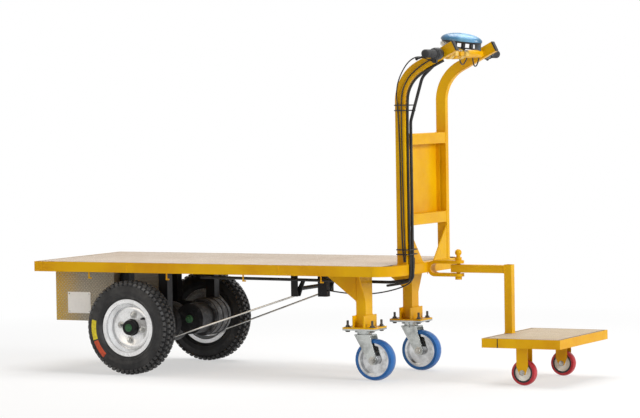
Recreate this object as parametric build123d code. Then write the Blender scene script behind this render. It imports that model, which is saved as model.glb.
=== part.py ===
# Electric platform cart: a flat timber deck in an angle-iron edge, two driven pneumatic wheels under
# one end, two swivel casters under the other, a tubular handle frame, and an operator's standing step
# that trails on a clevis and pin.
# Frame: +X runs from the drive end to the step end, +Y to the left of a person looking along +X, +Z up.
# The origin is on the floor, under the middle of the whole machine. Lengths are in millimetres.
import os
from math import atan2, cos, degrees, hypot, radians, sin

from build123d import *

# Driving dimensions of the deck
deck_length = 1600.0
deck_width = 660.0
deck_top = 445.0
edge_height = 40.0
edge_wall = 4.0
corner_radius = 90.0
board_thickness = 12.0
board_gap = 1.0
seat_gap = 0.3

# Driving dimensions of the step
step_start = 1922.0
step_length = 316.0
step_width = 478.0
step_top = 177.0
step_edge_height = 35.0
step_edge_wall = 3.0
step_board_thickness = 9.0

overall_length = step_start + step_length
front = -overall_length / 2
rear = front + deck_length
half_width = deck_width / 2
deck_under = deck_top - edge_height
flange_top = deck_under + edge_wall
board_under = deck_top - board_thickness
overrun = 5.0

# Handle beam and frame
beam_depth = 40.0
upright_depth = 40.0
upright_width = 25.0
tube_wall = 2.0
upright_spacing = 369.0
bend_start = 1065.0
bend_radius = 150.0
bend_angle = 63.0
slope_length = 163.0
rail_height = 42.0
rail_low = 592.0
rail_high = 900.0
panel_thickness = 2.0
panel_fold = 18.0
brace_base = 125.0
brace_height = 138.0
brace_thickness = 5.0

# Drive wheels and axle
axle_offset = 439.0
wheel_track = 620.0
tyre_diameter = 375.0
tyre_width = 88.0
bead_radius = 101.6
rim_width = 64.0
rim_lip = 12.0
rim_wall = 3.5
disc_offset = 3.0
hub_radius = 27.0
hub_cap_length = 24.0
stud_circle = 50.0
stud_radius = 6.0
stud_count = 4
drum_radius = 80.0
drum_width = 46.0
fin_height = 5.0
fin_count = 4
fin_width = 4.0
axle_tube_radius = 28.0
shaft_end_radius = 14.0
running_gap = 0.05
mouth_gap = 1.0

# Casters
caster_offset = 1418.0
caster_track = 414.0
caster_trail = 45.0
caster_height = 200.0
caster_wheel_diameter = 160.0
caster_wheel_width = 48.0
caster_tread = 15.0
mount_length = 135.0
mount_width = 110.0
mount_thickness = 6.0
bolt_spacing_x = 105.0
bolt_spacing_y = 80.0
bolt_hole_radius = 5.5
leg_depth = 40.0
leg_width = 60.0

# Step wheels
step_wheel_diameter = 98.0
step_wheel_width = 32.0
step_wheel_tread = 11.0
step_wheel_offset = 2074.0
step_wheel_track = 382.0

# Hitch
bar_size = 30.0
bar_top = 436.0
pin_offset = 122.0
pin_radius = 8.0
pin_clearance = 0.05


def both_sides():
    """The two sides of the machine: name and sign of Y."""
    return (("left", 1), ("right", -1))


def block(x0, x1, y0, y1, z0, z1):
    """A plain rectangular solid between two corners."""
    size = Box(x1 - x0, y1 - y0, z1 - z0)
    return Pos((x0 + x1) / 2, (y0 + y1) / 2, (z0 + z1) / 2) * size


def tube_x(x0, x1, y, z, width, height, wall=tube_wall):
    """A rectangular tube along X, centred on y and z."""
    outer = block(x0, x1, y - width / 2, y + width / 2, z - height / 2, z + height / 2)
    return outer - block(
        x0 - overrun, x1 + overrun, y - width / 2 + wall, y + width / 2 - wall,
        z - height / 2 + wall, z + height / 2 - wall)


def tube_y(x, y0, y1, z, depth, height, wall=tube_wall):
    """A rectangular tube along Y, centred on x and z."""
    outer = block(x - depth / 2, x + depth / 2, y0, y1, z - height / 2, z + height / 2)
    return outer - block(
        x - depth / 2 + wall, x + depth / 2 - wall, y0 - overrun, y1 + overrun,
        z - height / 2 + wall, z + height / 2 - wall)


def tube_z(x, y, z0, z1, depth, width, wall=tube_wall):
    """A rectangular tube along Z, centred on x and y."""
    outer = block(x - depth / 2, x + depth / 2, y - width / 2, y + width / 2, z0, z1)
    return outer - block(
        x - depth / 2 + wall, x + depth / 2 - wall, y - width / 2 + wall, y + width / 2 - wall,
        z0 - overrun, z1 + overrun)


def rod(start, end, radius):
    """A round bar between two points."""
    axis = Vector(*end) - Vector(*start)
    return extrude(Plane(origin=start, z_dir=axis) * Circle(radius), axis.length)


def disc_y(x, y0, y1, z, radius):
    """A round solid along Y between y0 and y1."""
    low, high = min(y0, y1), max(y0, y1)
    return rod((x, low, z), (x, high, z), radius)


def ring_y(x, y0, y1, z, outer, inner):
    """A round ring along Y."""
    low, high = min(y0, y1), max(y0, y1)
    return disc_y(x, low, high, z, outer) - disc_y(x, low - overrun, high + overrun, z, inner)


def turned_y(points, x, y, z):
    """A solid turned about the line through x and z along Y. points are (radius, distance along Y)."""
    profile = make_face(Polyline(*[(r, h, 0) for r, h in points], close=True))
    return Pos(x, y, z) * revolve(profile, Axis.Y)


def plate_xz(points, y0, y1):
    """A flat plate in an XZ outline, between two places along Y."""
    low, high = min(y0, y1), max(y0, y1)
    outline = Plane.XZ * make_face(Polyline(*points, close=True))
    return Pos(0, high, 0) * extrude(outline, high - low)


def plate_yz(points, x0, x1):
    """A flat plate in a YZ outline, between two places along X."""
    outline = Plane.YZ * make_face(Polyline(*points, close=True))
    return Pos(x0, 0, 0) * extrude(outline, x1 - x0)


def swept(points, radii, radius):
    """A round bar or cable along a filleted path."""
    path = FilletPolyline(*points, radius=radii)
    return sweep(Plane(origin=points[0], z_dir=path % 0) * Circle(radius), path=path)


# Deck: timber board, angle-iron edge, cross ribs

rib_depth = 40.0
rib_clear = 2.0
rib_offsets = (100.0, 351.0, 527.0, 800.0, 1088.0, 1200.0, caster_offset)
edge_seam = 0.6


def deck_outline(inset):
    """The plan of the deck, rounded at the step end, drawn in by inset."""
    half = half_width - inset
    plan = Pos(front + deck_length / 2, 0) * Rectangle(deck_length - 2 * inset, 2 * half)
    corners = plan.vertices().sort_by(Axis.X)[-2:]
    return fillet(corners, corner_radius - inset)


def edge_angle():
    """The whole angle iron round the deck: an upright leg with a flange turned in at its foot."""
    leg = extrude(deck_outline(0) - deck_outline(edge_wall), edge_height)
    flange = extrude(deck_outline(0) - deck_outline(edge_height), edge_wall)
    return Pos(0, 0, deck_under) * (leg + flange)


def deck_edges():
    """The edge cut into its front, side and rear lengths, with a seam at each weld."""
    whole = edge_angle()
    side_start = front + edge_height
    side_end = rear - corner_radius
    tall = (deck_under - overrun, deck_top + overrun)
    wide = half_width + overrun
    front_edge = whole & block(front - overrun, side_start, -wide, wide, *tall)
    sides = whole & block(side_start + edge_seam, side_end - edge_seam, -wide, wide, *tall)
    rear_edge = whole & block(side_end, rear + overrun, -wide, wide, *tall)
    return front_edge, sides, rear_edge


def handle_beam():
    """The square tube inside the rear edge, which carries the handle frame."""
    x = rear - edge_wall - beam_depth / 2
    reach = half_width - corner_radius
    z = (flange_top + deck_top) / 2
    return tube_y(x, -reach, reach, z, beam_depth, deck_top - flange_top)


def deck_board():
    """The timber board, which drops inside the edge and ends at the handle beam."""
    plan = deck_outline(edge_wall + board_gap)
    board = Pos(0, 0, board_under) * extrude(plan, board_thickness)
    end = rear - edge_wall - beam_depth - board_gap
    wide = half_width + overrun
    return board - block(end, rear + overrun, -wide, wide, board_under - overrun, deck_top + overrun)


def deck_ribs():
    """The cross tubes under the board, which rest on the edge's flange."""
    reach = half_width - edge_wall - rib_clear
    z = (flange_top + board_under) / 2
    tall = board_under - flange_top
    return [tube_y(front + x, -reach, reach, z, rib_depth, tall) for x in rib_offsets]


hook_radius = 3.0
hook_drop = 24.0
hook_reach = 11.0
hook_inset = 12.0
hook_offsets = (250.0, 608.0, 951.0, 1290.0)


def tie_hooks():
    """Round-bar hooks welded under the edge, for lashing loads."""
    hooks = []
    for _, side in both_sides():
        y = side * (half_width - hook_inset)
        for offset in hook_offsets:
            x = front + offset
            shank = rod((x, y, deck_under), (x, y, deck_under - hook_drop), hook_radius)
            toe_end = (x + hook_reach, y, deck_under - hook_drop)
            toe = rod((x - hook_radius, y, deck_under - hook_drop), toe_end, hook_radius)
            hooks.append(shank + toe)
    return hooks


# Battery box and battery

box_start = 47.0
box_end = 322.0
box_half_width = 245.0
box_bottom = 203.0
box_wall = 2.0
box_flange = 14.0
battery_gap = 12.0
battery_height = 170.0
stand_gap = 0.3


def battery_box():
    """A folded sheet box hung under the front ribs, with a flange round its mouth."""
    x0, x1 = front + box_start, front + box_end
    shell = block(x0, x1, -box_half_width, box_half_width, box_bottom, flange_top)
    shell -= block(x0 + box_wall, x1 - box_wall, -box_half_width + box_wall, box_half_width - box_wall,
                   box_bottom + box_wall, flange_top - box_wall)
    lip = block(x0 - box_flange, x0 + box_wall, -box_half_width, box_half_width,
                deck_under - box_wall, deck_under)
    return shell + lip


def battery_pack():
    """The batteries as one plain block on the floor of the box."""
    x0, x1 = front + box_start + box_wall + battery_gap, front + box_end - box_wall - battery_gap
    half = box_half_width - box_wall - battery_gap
    floor = box_bottom + box_wall
    return block(x0, x1, -half, half, floor, floor + battery_height)


# Drive axle

axle_x = front + axle_offset
axle_z = tyre_diameter / 2
stand_size = 40.0
stand_half_span = 88.0
stand_y = 190.0
saddle_height = 40.0
clamp_bar = 8.0
clamp_wall = 6.0
gearbox_radius = 80.0
gearbox_half = 46.0
gearbox_neck = 34.0
neck_half = 88.0
gearbox_y = -20.0
motor_radius = 74.0
motor_start = 27.5
motor_length = 128.0
motor_back = 118.0
motor_rise = 16.0
motor_cap = 12.0
plate_thickness = 6.0
plate_radius = 76.0


def axle_stands():
    """On each side, two square tubes down from the ribs and a saddle tube across the axle."""
    stands = []
    saddle_low = axle_z + axle_tube_radius
    for _, side in both_sides():
        y = side * stand_y
        x0, x1 = axle_x - stand_half_span - stand_size / 2, axle_x + stand_half_span + stand_size / 2
        frame = block(x0, x1, y - stand_size / 2, y + stand_size / 2, saddle_low, saddle_low + saddle_height)
        for along in (-1, 1):
            frame += tube_z(axle_x + along * stand_half_span, y, saddle_low, flange_top, stand_size, stand_size)
        clamp = ring_y(axle_x, y - stand_size / 4, y + stand_size / 4, axle_z,
                       axle_tube_radius + clamp_bar, axle_tube_radius)
        stands.append(frame + (clamp - block(
            x0, x1, y - stand_size, y + stand_size, saddle_low, saddle_low + saddle_height)))
    return stands


def drive_axle():
    """The axle tube with the bulged differential case in its middle."""
    reach = drum_inner_face() - plate_thickness
    tube = disc_y(axle_x, -reach, reach, axle_z, axle_tube_radius)
    case = turned_y(
        [(0, -neck_half), (gearbox_neck, -neck_half), (gearbox_neck, -gearbox_half - motor_cap),
         (gearbox_radius - motor_cap, -gearbox_half), (gearbox_radius, -gearbox_half + motor_cap),
         (gearbox_radius, gearbox_half - motor_cap), (gearbox_radius - motor_cap, gearbox_half),
         (gearbox_neck, gearbox_half + motor_cap), (gearbox_neck, neck_half), (0, neck_half)],
        axle_x, gearbox_y, axle_z)
    side_case = disc_y(axle_x + motor_back, gearbox_y - gearbox_half + motor_cap, gearbox_y + gearbox_half + motor_cap,
                       axle_z + motor_rise, motor_radius - motor_cap)
    stub = wheel_track / 2 - disc_offset - rim_wall - 2 * overrun
    shaft = disc_y(axle_x, -stub, stub, axle_z, shaft_end_radius)
    return tube + case + side_case + shaft


def drive_motor():
    """The motor, bolted to the side of the gearbox with its shaft along the axle."""
    start = gearbox_y + gearbox_half + motor_cap
    x, z = axle_x + motor_back, axle_z + motor_rise
    return turned_y(
        [(0, 0), (motor_radius, 0), (motor_radius, motor_length - motor_cap),
         (motor_radius - motor_cap, motor_length), (0, motor_length)], x, start, z)


def drum_inner_face():
    """Distance from the middle to the open face of a brake drum."""
    return wheel_track / 2 - disc_offset - rim_wall - drum_width


def brake_plates():
    """The steel backing plates, one inside each drum's mouth, with the brake arm."""
    plates = []
    for _, side in both_sides():
        face = drum_inner_face()
        plate = ring_y(axle_x, side * (face - mouth_gap), side * (face - plate_thickness), axle_z,
                       plate_radius, shaft_end_radius)
        plates.append(plate)
    return plates


def rim_solid(side):
    """One pressed rim: lips, well and a dished disc with the hub hole and stud holes."""
    half = rim_width / 2
    lip = bead_radius + rim_lip
    well = bead_radius - rim_lip
    disc_in, disc_out = -disc_offset - rim_wall, -disc_offset
    outline = [
        (lip, half), (lip, half - rim_wall), (bead_radius, half - rim_wall),
        (bead_radius, half - rim_lip), (well, half - 2 * rim_lip), (well, -half + 2 * rim_lip),
        (bead_radius, -half + rim_lip), (bead_radius, -half + rim_wall), (lip, -half + rim_wall), (lip, -half),
        (bead_radius - rim_wall, -half), (bead_radius - rim_wall, -half + rim_lip),
        (well - rim_wall, -half + 2 * rim_lip), (well - rim_wall, disc_in),
        (hub_radius, disc_in), (hub_radius, disc_out), (well - rim_wall, disc_out),
        (well - rim_wall, half - 2 * rim_lip), (bead_radius - rim_wall, half - rim_lip), (bead_radius - rim_wall, half)]
    return turned_y([(r, side * h) for r, h in outline], axle_x, side * wheel_track / 2, axle_z)


def tyre_solid(side):
    """One pneumatic tyre: a turned casing with rounded shoulders, seated on the rim's beads."""
    half = tyre_width / 2
    radius = tyre_diameter / 2
    bead_half = rim_width / 2 - rim_wall - seat_gap
    inner = bead_radius + seat_gap
    shoulder = radius - tyre_width / 6
    bulge = (inner + 2 * radius) / 3
    crown_half = tyre_width * 3 / 8
    lip = bead_radius + rim_lip + seat_gap
    bead = Line((inner, bead_half), (lip, bead_half))
    side_line = ThreePointArc((lip, bead_half), (bulge, half), (shoulder, crown_half))
    crown = ThreePointArc((shoulder, crown_half), (radius, 0), (shoulder, -crown_half))
    other = ThreePointArc((shoulder, -crown_half), (bulge, -half), (lip, -bead_half))
    close = Polyline((lip, -bead_half), (inner, -bead_half), (inner, bead_half))
    turned = revolve(make_face([bead, side_line, crown, other, close]), Axis.Y)
    return Pos(axle_x, side * wheel_track / 2, axle_z) * turned


def drum_solid(side):
    """The finned brake drum and hub, bolted behind the rim's disc, with its cap through the hole."""
    outer = wheel_track / 2 - disc_offset - rim_wall
    inner = drum_inner_face()
    drum = disc_y(axle_x, side * inner, side * outer, axle_z, drum_radius - fin_height)
    drum -= disc_y(axle_x, side * (inner - overrun), side * (inner + drum_width / 2), axle_z, plate_radius - fin_height * 2)
    pitch = drum_width / fin_count
    for fin in range(fin_count):
        at = inner + pitch * (fin + 0.5)
        drum += ring_y(axle_x, side * (at - fin_width / 2), side * (at + fin_width / 2), axle_z,
                       drum_radius, drum_radius - 2 * fin_height)
    cap = disc_y(axle_x, side * outer, side * (outer + rim_wall + hub_cap_length), axle_z, hub_radius - seat_gap)
    bore = disc_y(axle_x, side * (inner - overrun), side * (outer - overrun), axle_z,
                  shaft_end_radius + running_gap)
    return drum + cap - bore


# Brake linkage

crank_offset = 1088.0
crank_y = 150.0
crank_drop = 98.0
crank_thickness = 6.0
crank_width = 28.0
crank_gap = 14.0
crank_lean = 26.0
shaft_radius = 8.0
rod_radius = 3.5
stop_offset = 1200.0
stop_depth = 38.0
stop_width = 30.0
stop_bottom = 311.0


def brake_crank():
    """Under the ribs: two pairs of brackets, a cross shaft and the arms that pull the rods."""
    x = front + crank_offset
    low = flange_top - crank_drop
    pivot_z = low + crank_width
    shaft = disc_y(x, -crank_y - crank_thickness, crank_y + crank_thickness, pivot_z, shaft_radius)
    whole = shaft
    for _, side in both_sides():
        y0, y1 = side * crank_y, side * (crank_y + crank_thickness)
        whole += block(x - crank_width / 2, x + crank_width / 2, min(y0, y1), max(y0, y1), low, flange_top)
        arm_y0, arm_y1 = side * (crank_y - crank_gap), side * (crank_y - crank_gap - crank_thickness)
        arm = plate_xz(
            [(x - crank_width / 2, low), (x + crank_width / 2, low),
             (x + crank_width / 2 + crank_lean, flange_top - crank_width),
             (x + crank_lean, flange_top - crank_width)], arm_y0, arm_y1)
        whole += arm
    return whole


def brake_rods():
    """The two pull rods, from the crank's arms down to the drums' backing plates."""
    rods = []
    x = front + crank_offset
    arm_face = crank_y - crank_gap
    z = flange_top - crank_drop + rod_radius
    for _, side in both_sides():
        start = (x, side * (arm_face + rod_radius + seat_gap), z)
        end = (axle_x + plate_radius / 2, side * (drum_inner_face() - plate_thickness - rod_radius - seat_gap),
               axle_z - plate_radius)
        rods.append(rod(start, end, rod_radius))
    return rods


def cable_stop():
    """The square stub under the ribs that holds the brake cable's end."""
    x = front + stop_offset
    return tube_z(x, -crank_y + stop_width, stop_bottom, flange_top, stop_depth, stop_width)


# Caster legs, mounts and casters

caster_x = front + caster_offset
leg_foot = caster_height + mount_thickness
gusset_length = 135.0
gusset_height = 100.0
gusset_thickness = 4.0
wing_height = 100.0
angle_height = 45.0
angle_wall = 5.0


def caster_legs():
    """Two rectangular tubes down from the last rib, each with a gusset ahead and a wing outboard."""
    legs = []
    for _, side in both_sides():
        y = side * caster_track / 2
        leg = tube_z(caster_x, y, leg_foot, flange_top, leg_depth, leg_width)
        x0 = caster_x - leg_depth / 2
        face = y + side * (leg_width / 2)
        leg += plate_xz(
            [(x0, flange_top), (x0 - gusset_length, flange_top), (x0, flange_top - gusset_height - gusset_thickness)],
            face - side * gusset_thickness, face)
        x1 = caster_x + leg_depth / 2
        wing_end = side * (half_width - edge_height - seat_gap)
        leg += plate_yz(
            [(face, flange_top), (wing_end, flange_top), (face, flange_top - wing_height)],
            x1 - gusset_thickness, x1)
        legs.append(leg)
    return legs


def bolt_places():
    """The four bolt places of one caster plate, about its centre."""
    return [(sx * bolt_spacing_x / 2, sy * bolt_spacing_y / 2) for sx in (-1, 1) for sy in (-1, 1)]


def drilled_plate(y, z0, z1):
    """One rectangular plate with the four caster bolt holes."""
    plate = block(caster_x - mount_length / 2, caster_x + mount_length / 2,
                  y - mount_width / 2, y + mount_width / 2, z0, z1)
    for dx, dy in bolt_places():
        plate -= rod((caster_x + dx, y + dy, z0 - overrun), (caster_x + dx, y + dy, z1 + overrun), bolt_hole_radius)
    return plate


def caster_mounts():
    """Each leg's welded foot: a drilled plate and two short angles that hug the tube."""
    mounts = []
    for _, side in both_sides():
        y = side * caster_track / 2
        foot = drilled_plate(y, caster_height, leg_foot)
        for along in (-1, 1):
            near = caster_x + along * (leg_depth / 2)
            far = near + along * angle_wall
            foot += block(min(near, far), max(near, far), y - mount_width / 2, y + mount_width / 2,
                          leg_foot, leg_foot + angle_height)
        mounts.append(foot)
    return mounts


head_radius = 38.0
head_height = 17.0
plate_top_thickness = 6.0
race_gap = 0.5
fork_wall = 4.0
fork_gap = 4.0
boss_radius = 19.0
crown_thickness = 6.0
wheel_z = caster_wheel_diameter / 2
crown_top = caster_height - plate_top_thickness - head_height


def caster_plates():
    """The zinc-plated top plates, each with its fixed race."""
    plates = []
    for _, side in both_sides():
        y = side * caster_track / 2
        plate = drilled_plate(y, caster_height - plate_top_thickness, caster_height)
        low = caster_height - plate_top_thickness
        race = rod((caster_x, y, crown_top + race_gap), (caster_x, y, low), head_radius * 0.75)
        rim_low = crown_top + head_height / 2
        race += rod((caster_x, y, rim_low), (caster_x, y, low), head_radius)
        plates.append(plate + race)
    return plates


def fork_solid(side):
    """One pressed swivel fork: a crown under the race and two cheeks down to the axle bolt."""
    y = side * caster_track / 2
    wheel_x = caster_x + caster_trail
    gap = caster_wheel_width / 2 + fork_gap
    crown = rod((caster_x, y, crown_top - crown_thickness), (caster_x, y, crown_top), head_radius)
    crown += block(caster_x - head_radius / 2, wheel_x - boss_radius / 2, y - gap - fork_wall, y + gap + fork_wall,
                   crown_top - crown_thickness, crown_top)
    whole = crown
    for hand in (-1, 1):
        y0, y1 = y + hand * gap, y + hand * (gap + fork_wall)
        cheek = plate_xz(
            [(caster_x - head_radius * 0.8, crown_top), (wheel_x - boss_radius / 2, crown_top),
             (wheel_x + boss_radius, wheel_z), (wheel_x - boss_radius, wheel_z)], y0, y1)
        whole += cheek + disc_y(wheel_x, y0, y1, wheel_z, boss_radius)
        whole += disc_y(wheel_x, y0, y + hand * (gap + fork_wall + nut_height), wheel_z, nut_radius)
    return whole + disc_y(wheel_x, y - gap, y + gap, wheel_z, axle_radius)


nut_radius = 10.0
nut_height = 7.0
axle_radius = 6.0
axle_clearance = 0.05


def caster_core(side):
    """The steel wheel body, with a raised hub each side and a turned-down web between."""
    hub = 18.0 / 2 + nut_radius
    rim = caster_wheel_diameter / 2 - caster_tread
    half = caster_wheel_width / 2
    web = half / 3
    bore = axle_radius + axle_clearance
    rim_in = rim - caster_tread * 0.6
    points = [(bore, -half), (hub, -half), (hub, -web), (rim_in, -web), (rim_in, -half + web / 2),
              (rim, -half + web / 2), (rim, half - web / 2), (rim_in, half - web / 2), (rim_in, web),
              (hub, web), (hub, half), (bore, half)]
    return turned_y(points, caster_x + caster_trail, side * caster_track / 2, wheel_z)


def rounded_tread(outer, inner, width, x, y, z):
    """A wheel's tread with an arched running face."""
    half = width / 2
    edge = outer - width / 10
    crown = ThreePointArc((edge, -half), (outer, 0), (edge, half))
    rest = Polyline((edge, half), (inner, half), (inner, -half), (edge, -half))
    return Pos(x, y, z) * revolve(make_face([crown, rest]), Axis.Y)


def caster_tread_ring(side):
    """The blue polyurethane tread."""
    return rounded_tread(caster_wheel_diameter / 2, caster_wheel_diameter / 2 - caster_tread, caster_wheel_width - 4,
                         caster_x + caster_trail, side * caster_track / 2, wheel_z)


# Handle frame

upright_x = rear - edge_wall - upright_depth / 2
upright_y = upright_spacing / 2
inner_face = upright_y - upright_width / 2
outer_face = upright_y + upright_width / 2
bend_end_x = upright_x + bend_radius * (1 - cos(radians(bend_angle)))
bend_end_z = bend_start + bend_radius * sin(radians(bend_angle))
slope_x = cos(radians(90 - bend_angle))
slope_z = sin(radians(90 - bend_angle))


def uprights():
    """Two rectangular tubes that rise from the beam and bend back over the step."""
    posts = []
    for _, side in both_sides():
        y = side * upright_y
        start = (upright_x, y, deck_top)
        knee = (upright_x, y, bend_start)
        arc_end = (bend_end_x, y, bend_end_z)
        tip = (bend_end_x + slope_length * slope_x, y, bend_end_z + slope_length * slope_z)
        half_turn = radians(bend_angle) / 2
        mid = (upright_x + bend_radius * (1 - cos(half_turn)), y, bend_start + bend_radius * sin(half_turn))
        path = Line(start, knee) + ThreePointArc(knee, mid, arc_end) + Line(arc_end, tip)
        section = Rectangle(upright_depth, upright_width)
        section -= Rectangle(upright_depth - 2 * tube_wall, upright_width - 2 * tube_wall)
        posts.append(sweep(Pos(*start) * section, path=path))
    return posts


def upright_braces():
    """Triangular plates in the corners between the uprights and the beam."""
    braces = []
    x1 = rear - edge_wall
    for _, side in both_sides():
        y = side * inner_face
        braces.append(plate_yz(
            [(y, deck_top), (y - side * brace_base, deck_top), (y, deck_top + brace_height)],
            x1 - brace_thickness, x1))
    return braces


def handle_rails():
    """The upper and lower cross tubes between the uprights."""
    return [tube_y(upright_x, -inner_face, inner_face, z + rail_height / 2, upright_depth, rail_height)
            for z in (rail_low, rail_high)]


def handle_panel():
    """The sheet panel between the rails, with its two long edges folded back."""
    x0 = upright_x - upright_depth / 2
    low, high = rail_low + rail_height, rail_high
    edge = inner_face - panel_fold / 2
    sheet = block(x0, x0 + panel_thickness, -edge, edge, low, high)
    for _, side in both_sides():
        y0, y1 = side * edge, side * (edge - panel_thickness)
        sheet += block(x0, x0 + panel_fold, min(y0, y1), max(y0, y1), low, high)
    return sheet


bar_place_share = 0.62
grip_bar_radius = 11.0
crossbar_radius = 15.0
bar_half = 330.0
grip_length = 118.0
grip_radius = 16.0
collar_radius = 22.0
collar_length = 26.0
collar_inset = 4.0
bar_x = bend_end_x + slope_length * bar_place_share * slope_x
bar_z = bend_end_z + slope_length * bar_place_share * slope_z


def crossbar():
    """The round tube welded between the uprights under the lamp."""
    return disc_y(bar_x, -inner_face, inner_face, bar_z, crossbar_radius)


def handlebar():
    """The two stub bars that carry the grips, welded to the uprights' outer faces."""
    return [disc_y(bar_x, side * outer_face, side * bar_half, bar_z, grip_bar_radius) for _, side in both_sides()]


def grips():
    """The rubber grips over the ends of the stub bars."""
    sleeves = []
    for _, side in both_sides():
        end = bar_half + collar_inset
        sleeve = disc_y(bar_x, side * (bar_half - grip_length), side * end, bar_z, grip_radius)
        sleeves.append(sleeve - disc_y(bar_x, side * (bar_half - grip_length - overrun), side * bar_half, bar_z,
                                       grip_bar_radius))
    return sleeves


lever_length = 120.0
lever_drop = 10.0
lever_width = 16.0
lever_thickness = 6.0
lever_ahead = 34.0
perch_size = 24.0


def brake_levers():
    """A perch clamped on each stub bar and a lever ahead of the grip."""
    levers = []
    gap_end = bar_half - grip_length
    for _, side in both_sides():
        y0 = side * outer_face
        y1 = side * (gap_end - seat_gap)
        clamp = ring_y(bar_x, y0, y1, bar_z, grip_radius, grip_bar_radius)
        perch = block(bar_x - lever_ahead - perch_size / 2, bar_x - grip_bar_radius - lever_thickness / 2,
                      min(y0, y1), max(y0, y1), bar_z - lever_width / 2, bar_z + lever_width / 2)
        tip = side * (gap_end + lever_length)
        lever = block(bar_x - lever_ahead - lever_thickness, bar_x - lever_ahead,
                      min(y1, tip), max(y1, tip), bar_z - lever_width / 2, bar_z + lever_width / 2)
        levers.append(clamp + perch + lever)
    return levers


lamp_length = 128.0
lamp_width = 112.0
lamp_height = 40.0
lamp_base = 28.0
lamp_lift = 30.0
lamp_back = 34.0
lens_length = 16.0


def headlamp():
    """The lamp above the crossbar: a domed shell, its dark body and bracket, and the lens ahead."""
    x0 = bar_x + lamp_back - lamp_length / 2
    x1 = bar_x + lamp_back + lamp_length / 2
    low = bar_z + lamp_lift
    mid = low + lamp_base
    dome_plan = Pos((x0 + x1) / 2, 0, mid) * Ellipse(lamp_length / 2, lamp_width / 2)
    top_plan = Pos((x0 + x1) / 2 - lamp_length / 12, 0, mid + lamp_height * 0.8) * Ellipse(lamp_length / 4, lamp_width / 5)
    shell = loft([dome_plan, top_plan])
    body = Pos((x0 + x1) / 2, 0, low) * extrude(Ellipse(lamp_length / 2.4, lamp_width / 2.5), lamp_base)
    bracket = block(bar_x - crossbar_radius / 2, bar_x + crossbar_radius / 2, -lamp_width / 4, lamp_width / 4,
                    bar_z, low)
    body += bracket - crossbar()
    lens_plane = block(x0, x0 + lens_length, -lamp_width / 3, lamp_width / 3, low, mid)
    return shell, body - lens_plane, lens_plane - body


# Cables

cable_radius = 6.0
brake_cable_radius = 2.5


def harness():
    """The power and throttle cables, tied down the right-hand upright and along under the deck."""
    y = -inner_face + cable_radius + seat_gap
    x_face = rear + cable_radius + seat_gap
    top_z = bar_z - crossbar_radius - cable_radius - seat_gap
    points = [(bar_x - grip_radius, y, top_z), (bend_end_x, y, bend_end_z - upright_depth),
              (x_face, y, bend_start - bend_radius / 2), (x_face, y, deck_under - cable_radius * 3),
              (rear - corner_radius, y, deck_under - cable_radius * 5),
              (axle_x + motor_back * 2, y, deck_under - cable_radius * 4)]
    return swept(points, [60.0, 60.0, 20.0, 30.0], cable_radius)


# Hitch, drawbar and step

pin_x = rear + pin_offset
bar_mid = bar_top - bar_size / 2
clevis_width = 44.0
clevis_wall = 12.0
clevis_gap = bar_size + 8.0
clevis_eye = 22.0
pin_head_radius = 13.0
pin_head_rise = 30.0
nut_rise = 12.0
bar_start = 26.0
bush_radius = 12.0


def hitch_clevis():
    """A forged jaw welded to the deck's rear face, open towards the step."""
    half = clevis_gap / 2
    outer = half + clevis_wall
    back = Pos(rear + outer, 0, bar_mid) * extrude(Plane.XZ * Circle(outer), clevis_width / 2, both=True)
    arms = block(rear + outer, pin_x, -clevis_width / 2, clevis_width / 2, bar_mid - outer, bar_mid + outer)
    eyes = rod((pin_x, 0, bar_mid - outer), (pin_x, 0, bar_mid + outer), clevis_eye)
    jaw = back + arms + eyes
    slot = block(rear + outer, pin_x + clevis_eye + overrun, -clevis_width, clevis_width, bar_mid - half, bar_mid + half)
    slot += Pos(rear + outer, 0, bar_mid) * extrude(Plane.XZ * Circle(half), clevis_width, both=True)
    return jaw - slot - rod((pin_x, 0, bar_mid - outer - overrun), (pin_x, 0, bar_mid + outer + overrun), pin_radius)


def hitch_pin():
    """The drop pin, with a ball-topped nut above the jaw and a domed head below."""
    outer = clevis_gap / 2 + clevis_wall
    pin = rod((pin_x, 0, bar_mid - outer - nut_rise), (pin_x, 0, bar_mid + outer + pin_head_rise), pin_radius)
    pin += rod((pin_x, 0, bar_mid + outer), (pin_x, 0, bar_mid + outer + nut_rise), pin_head_radius)
    pin += rod((pin_x, 0, bar_mid - outer - nut_rise), (pin_x, 0, bar_mid - outer), pin_head_radius)
    return pin + Pos(pin_x, 0, bar_mid + outer + pin_head_rise) * Sphere(pin_head_radius)


step_x0 = front + step_start
step_x1 = step_x0 + step_length
step_under = step_top - step_edge_height
post_x1 = step_x0 + bar_size - step_edge_wall


def drawbar():
    """The square bar from the pin to the post, with a cross bush for the pin."""
    x0 = pin_x - bar_start
    bar = tube_x(x0, post_x1 - bar_size, 0, bar_mid, bar_size, bar_size)
    bush = rod((pin_x, 0, bar_mid - bar_size / 2), (pin_x, 0, bar_mid + bar_size / 2), bush_radius)
    hole = rod((pin_x, 0, bar_mid - bar_size), (pin_x, 0, bar_mid + bar_size), pin_radius + pin_clearance)
    return bar + bush - hole


def step_post():
    """The upright square tube between the drawbar and the step's edge."""
    return tube_z(post_x1 - bar_size / 2, 0, step_top, bar_top + step_edge_wall, bar_size, bar_size)


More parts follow.
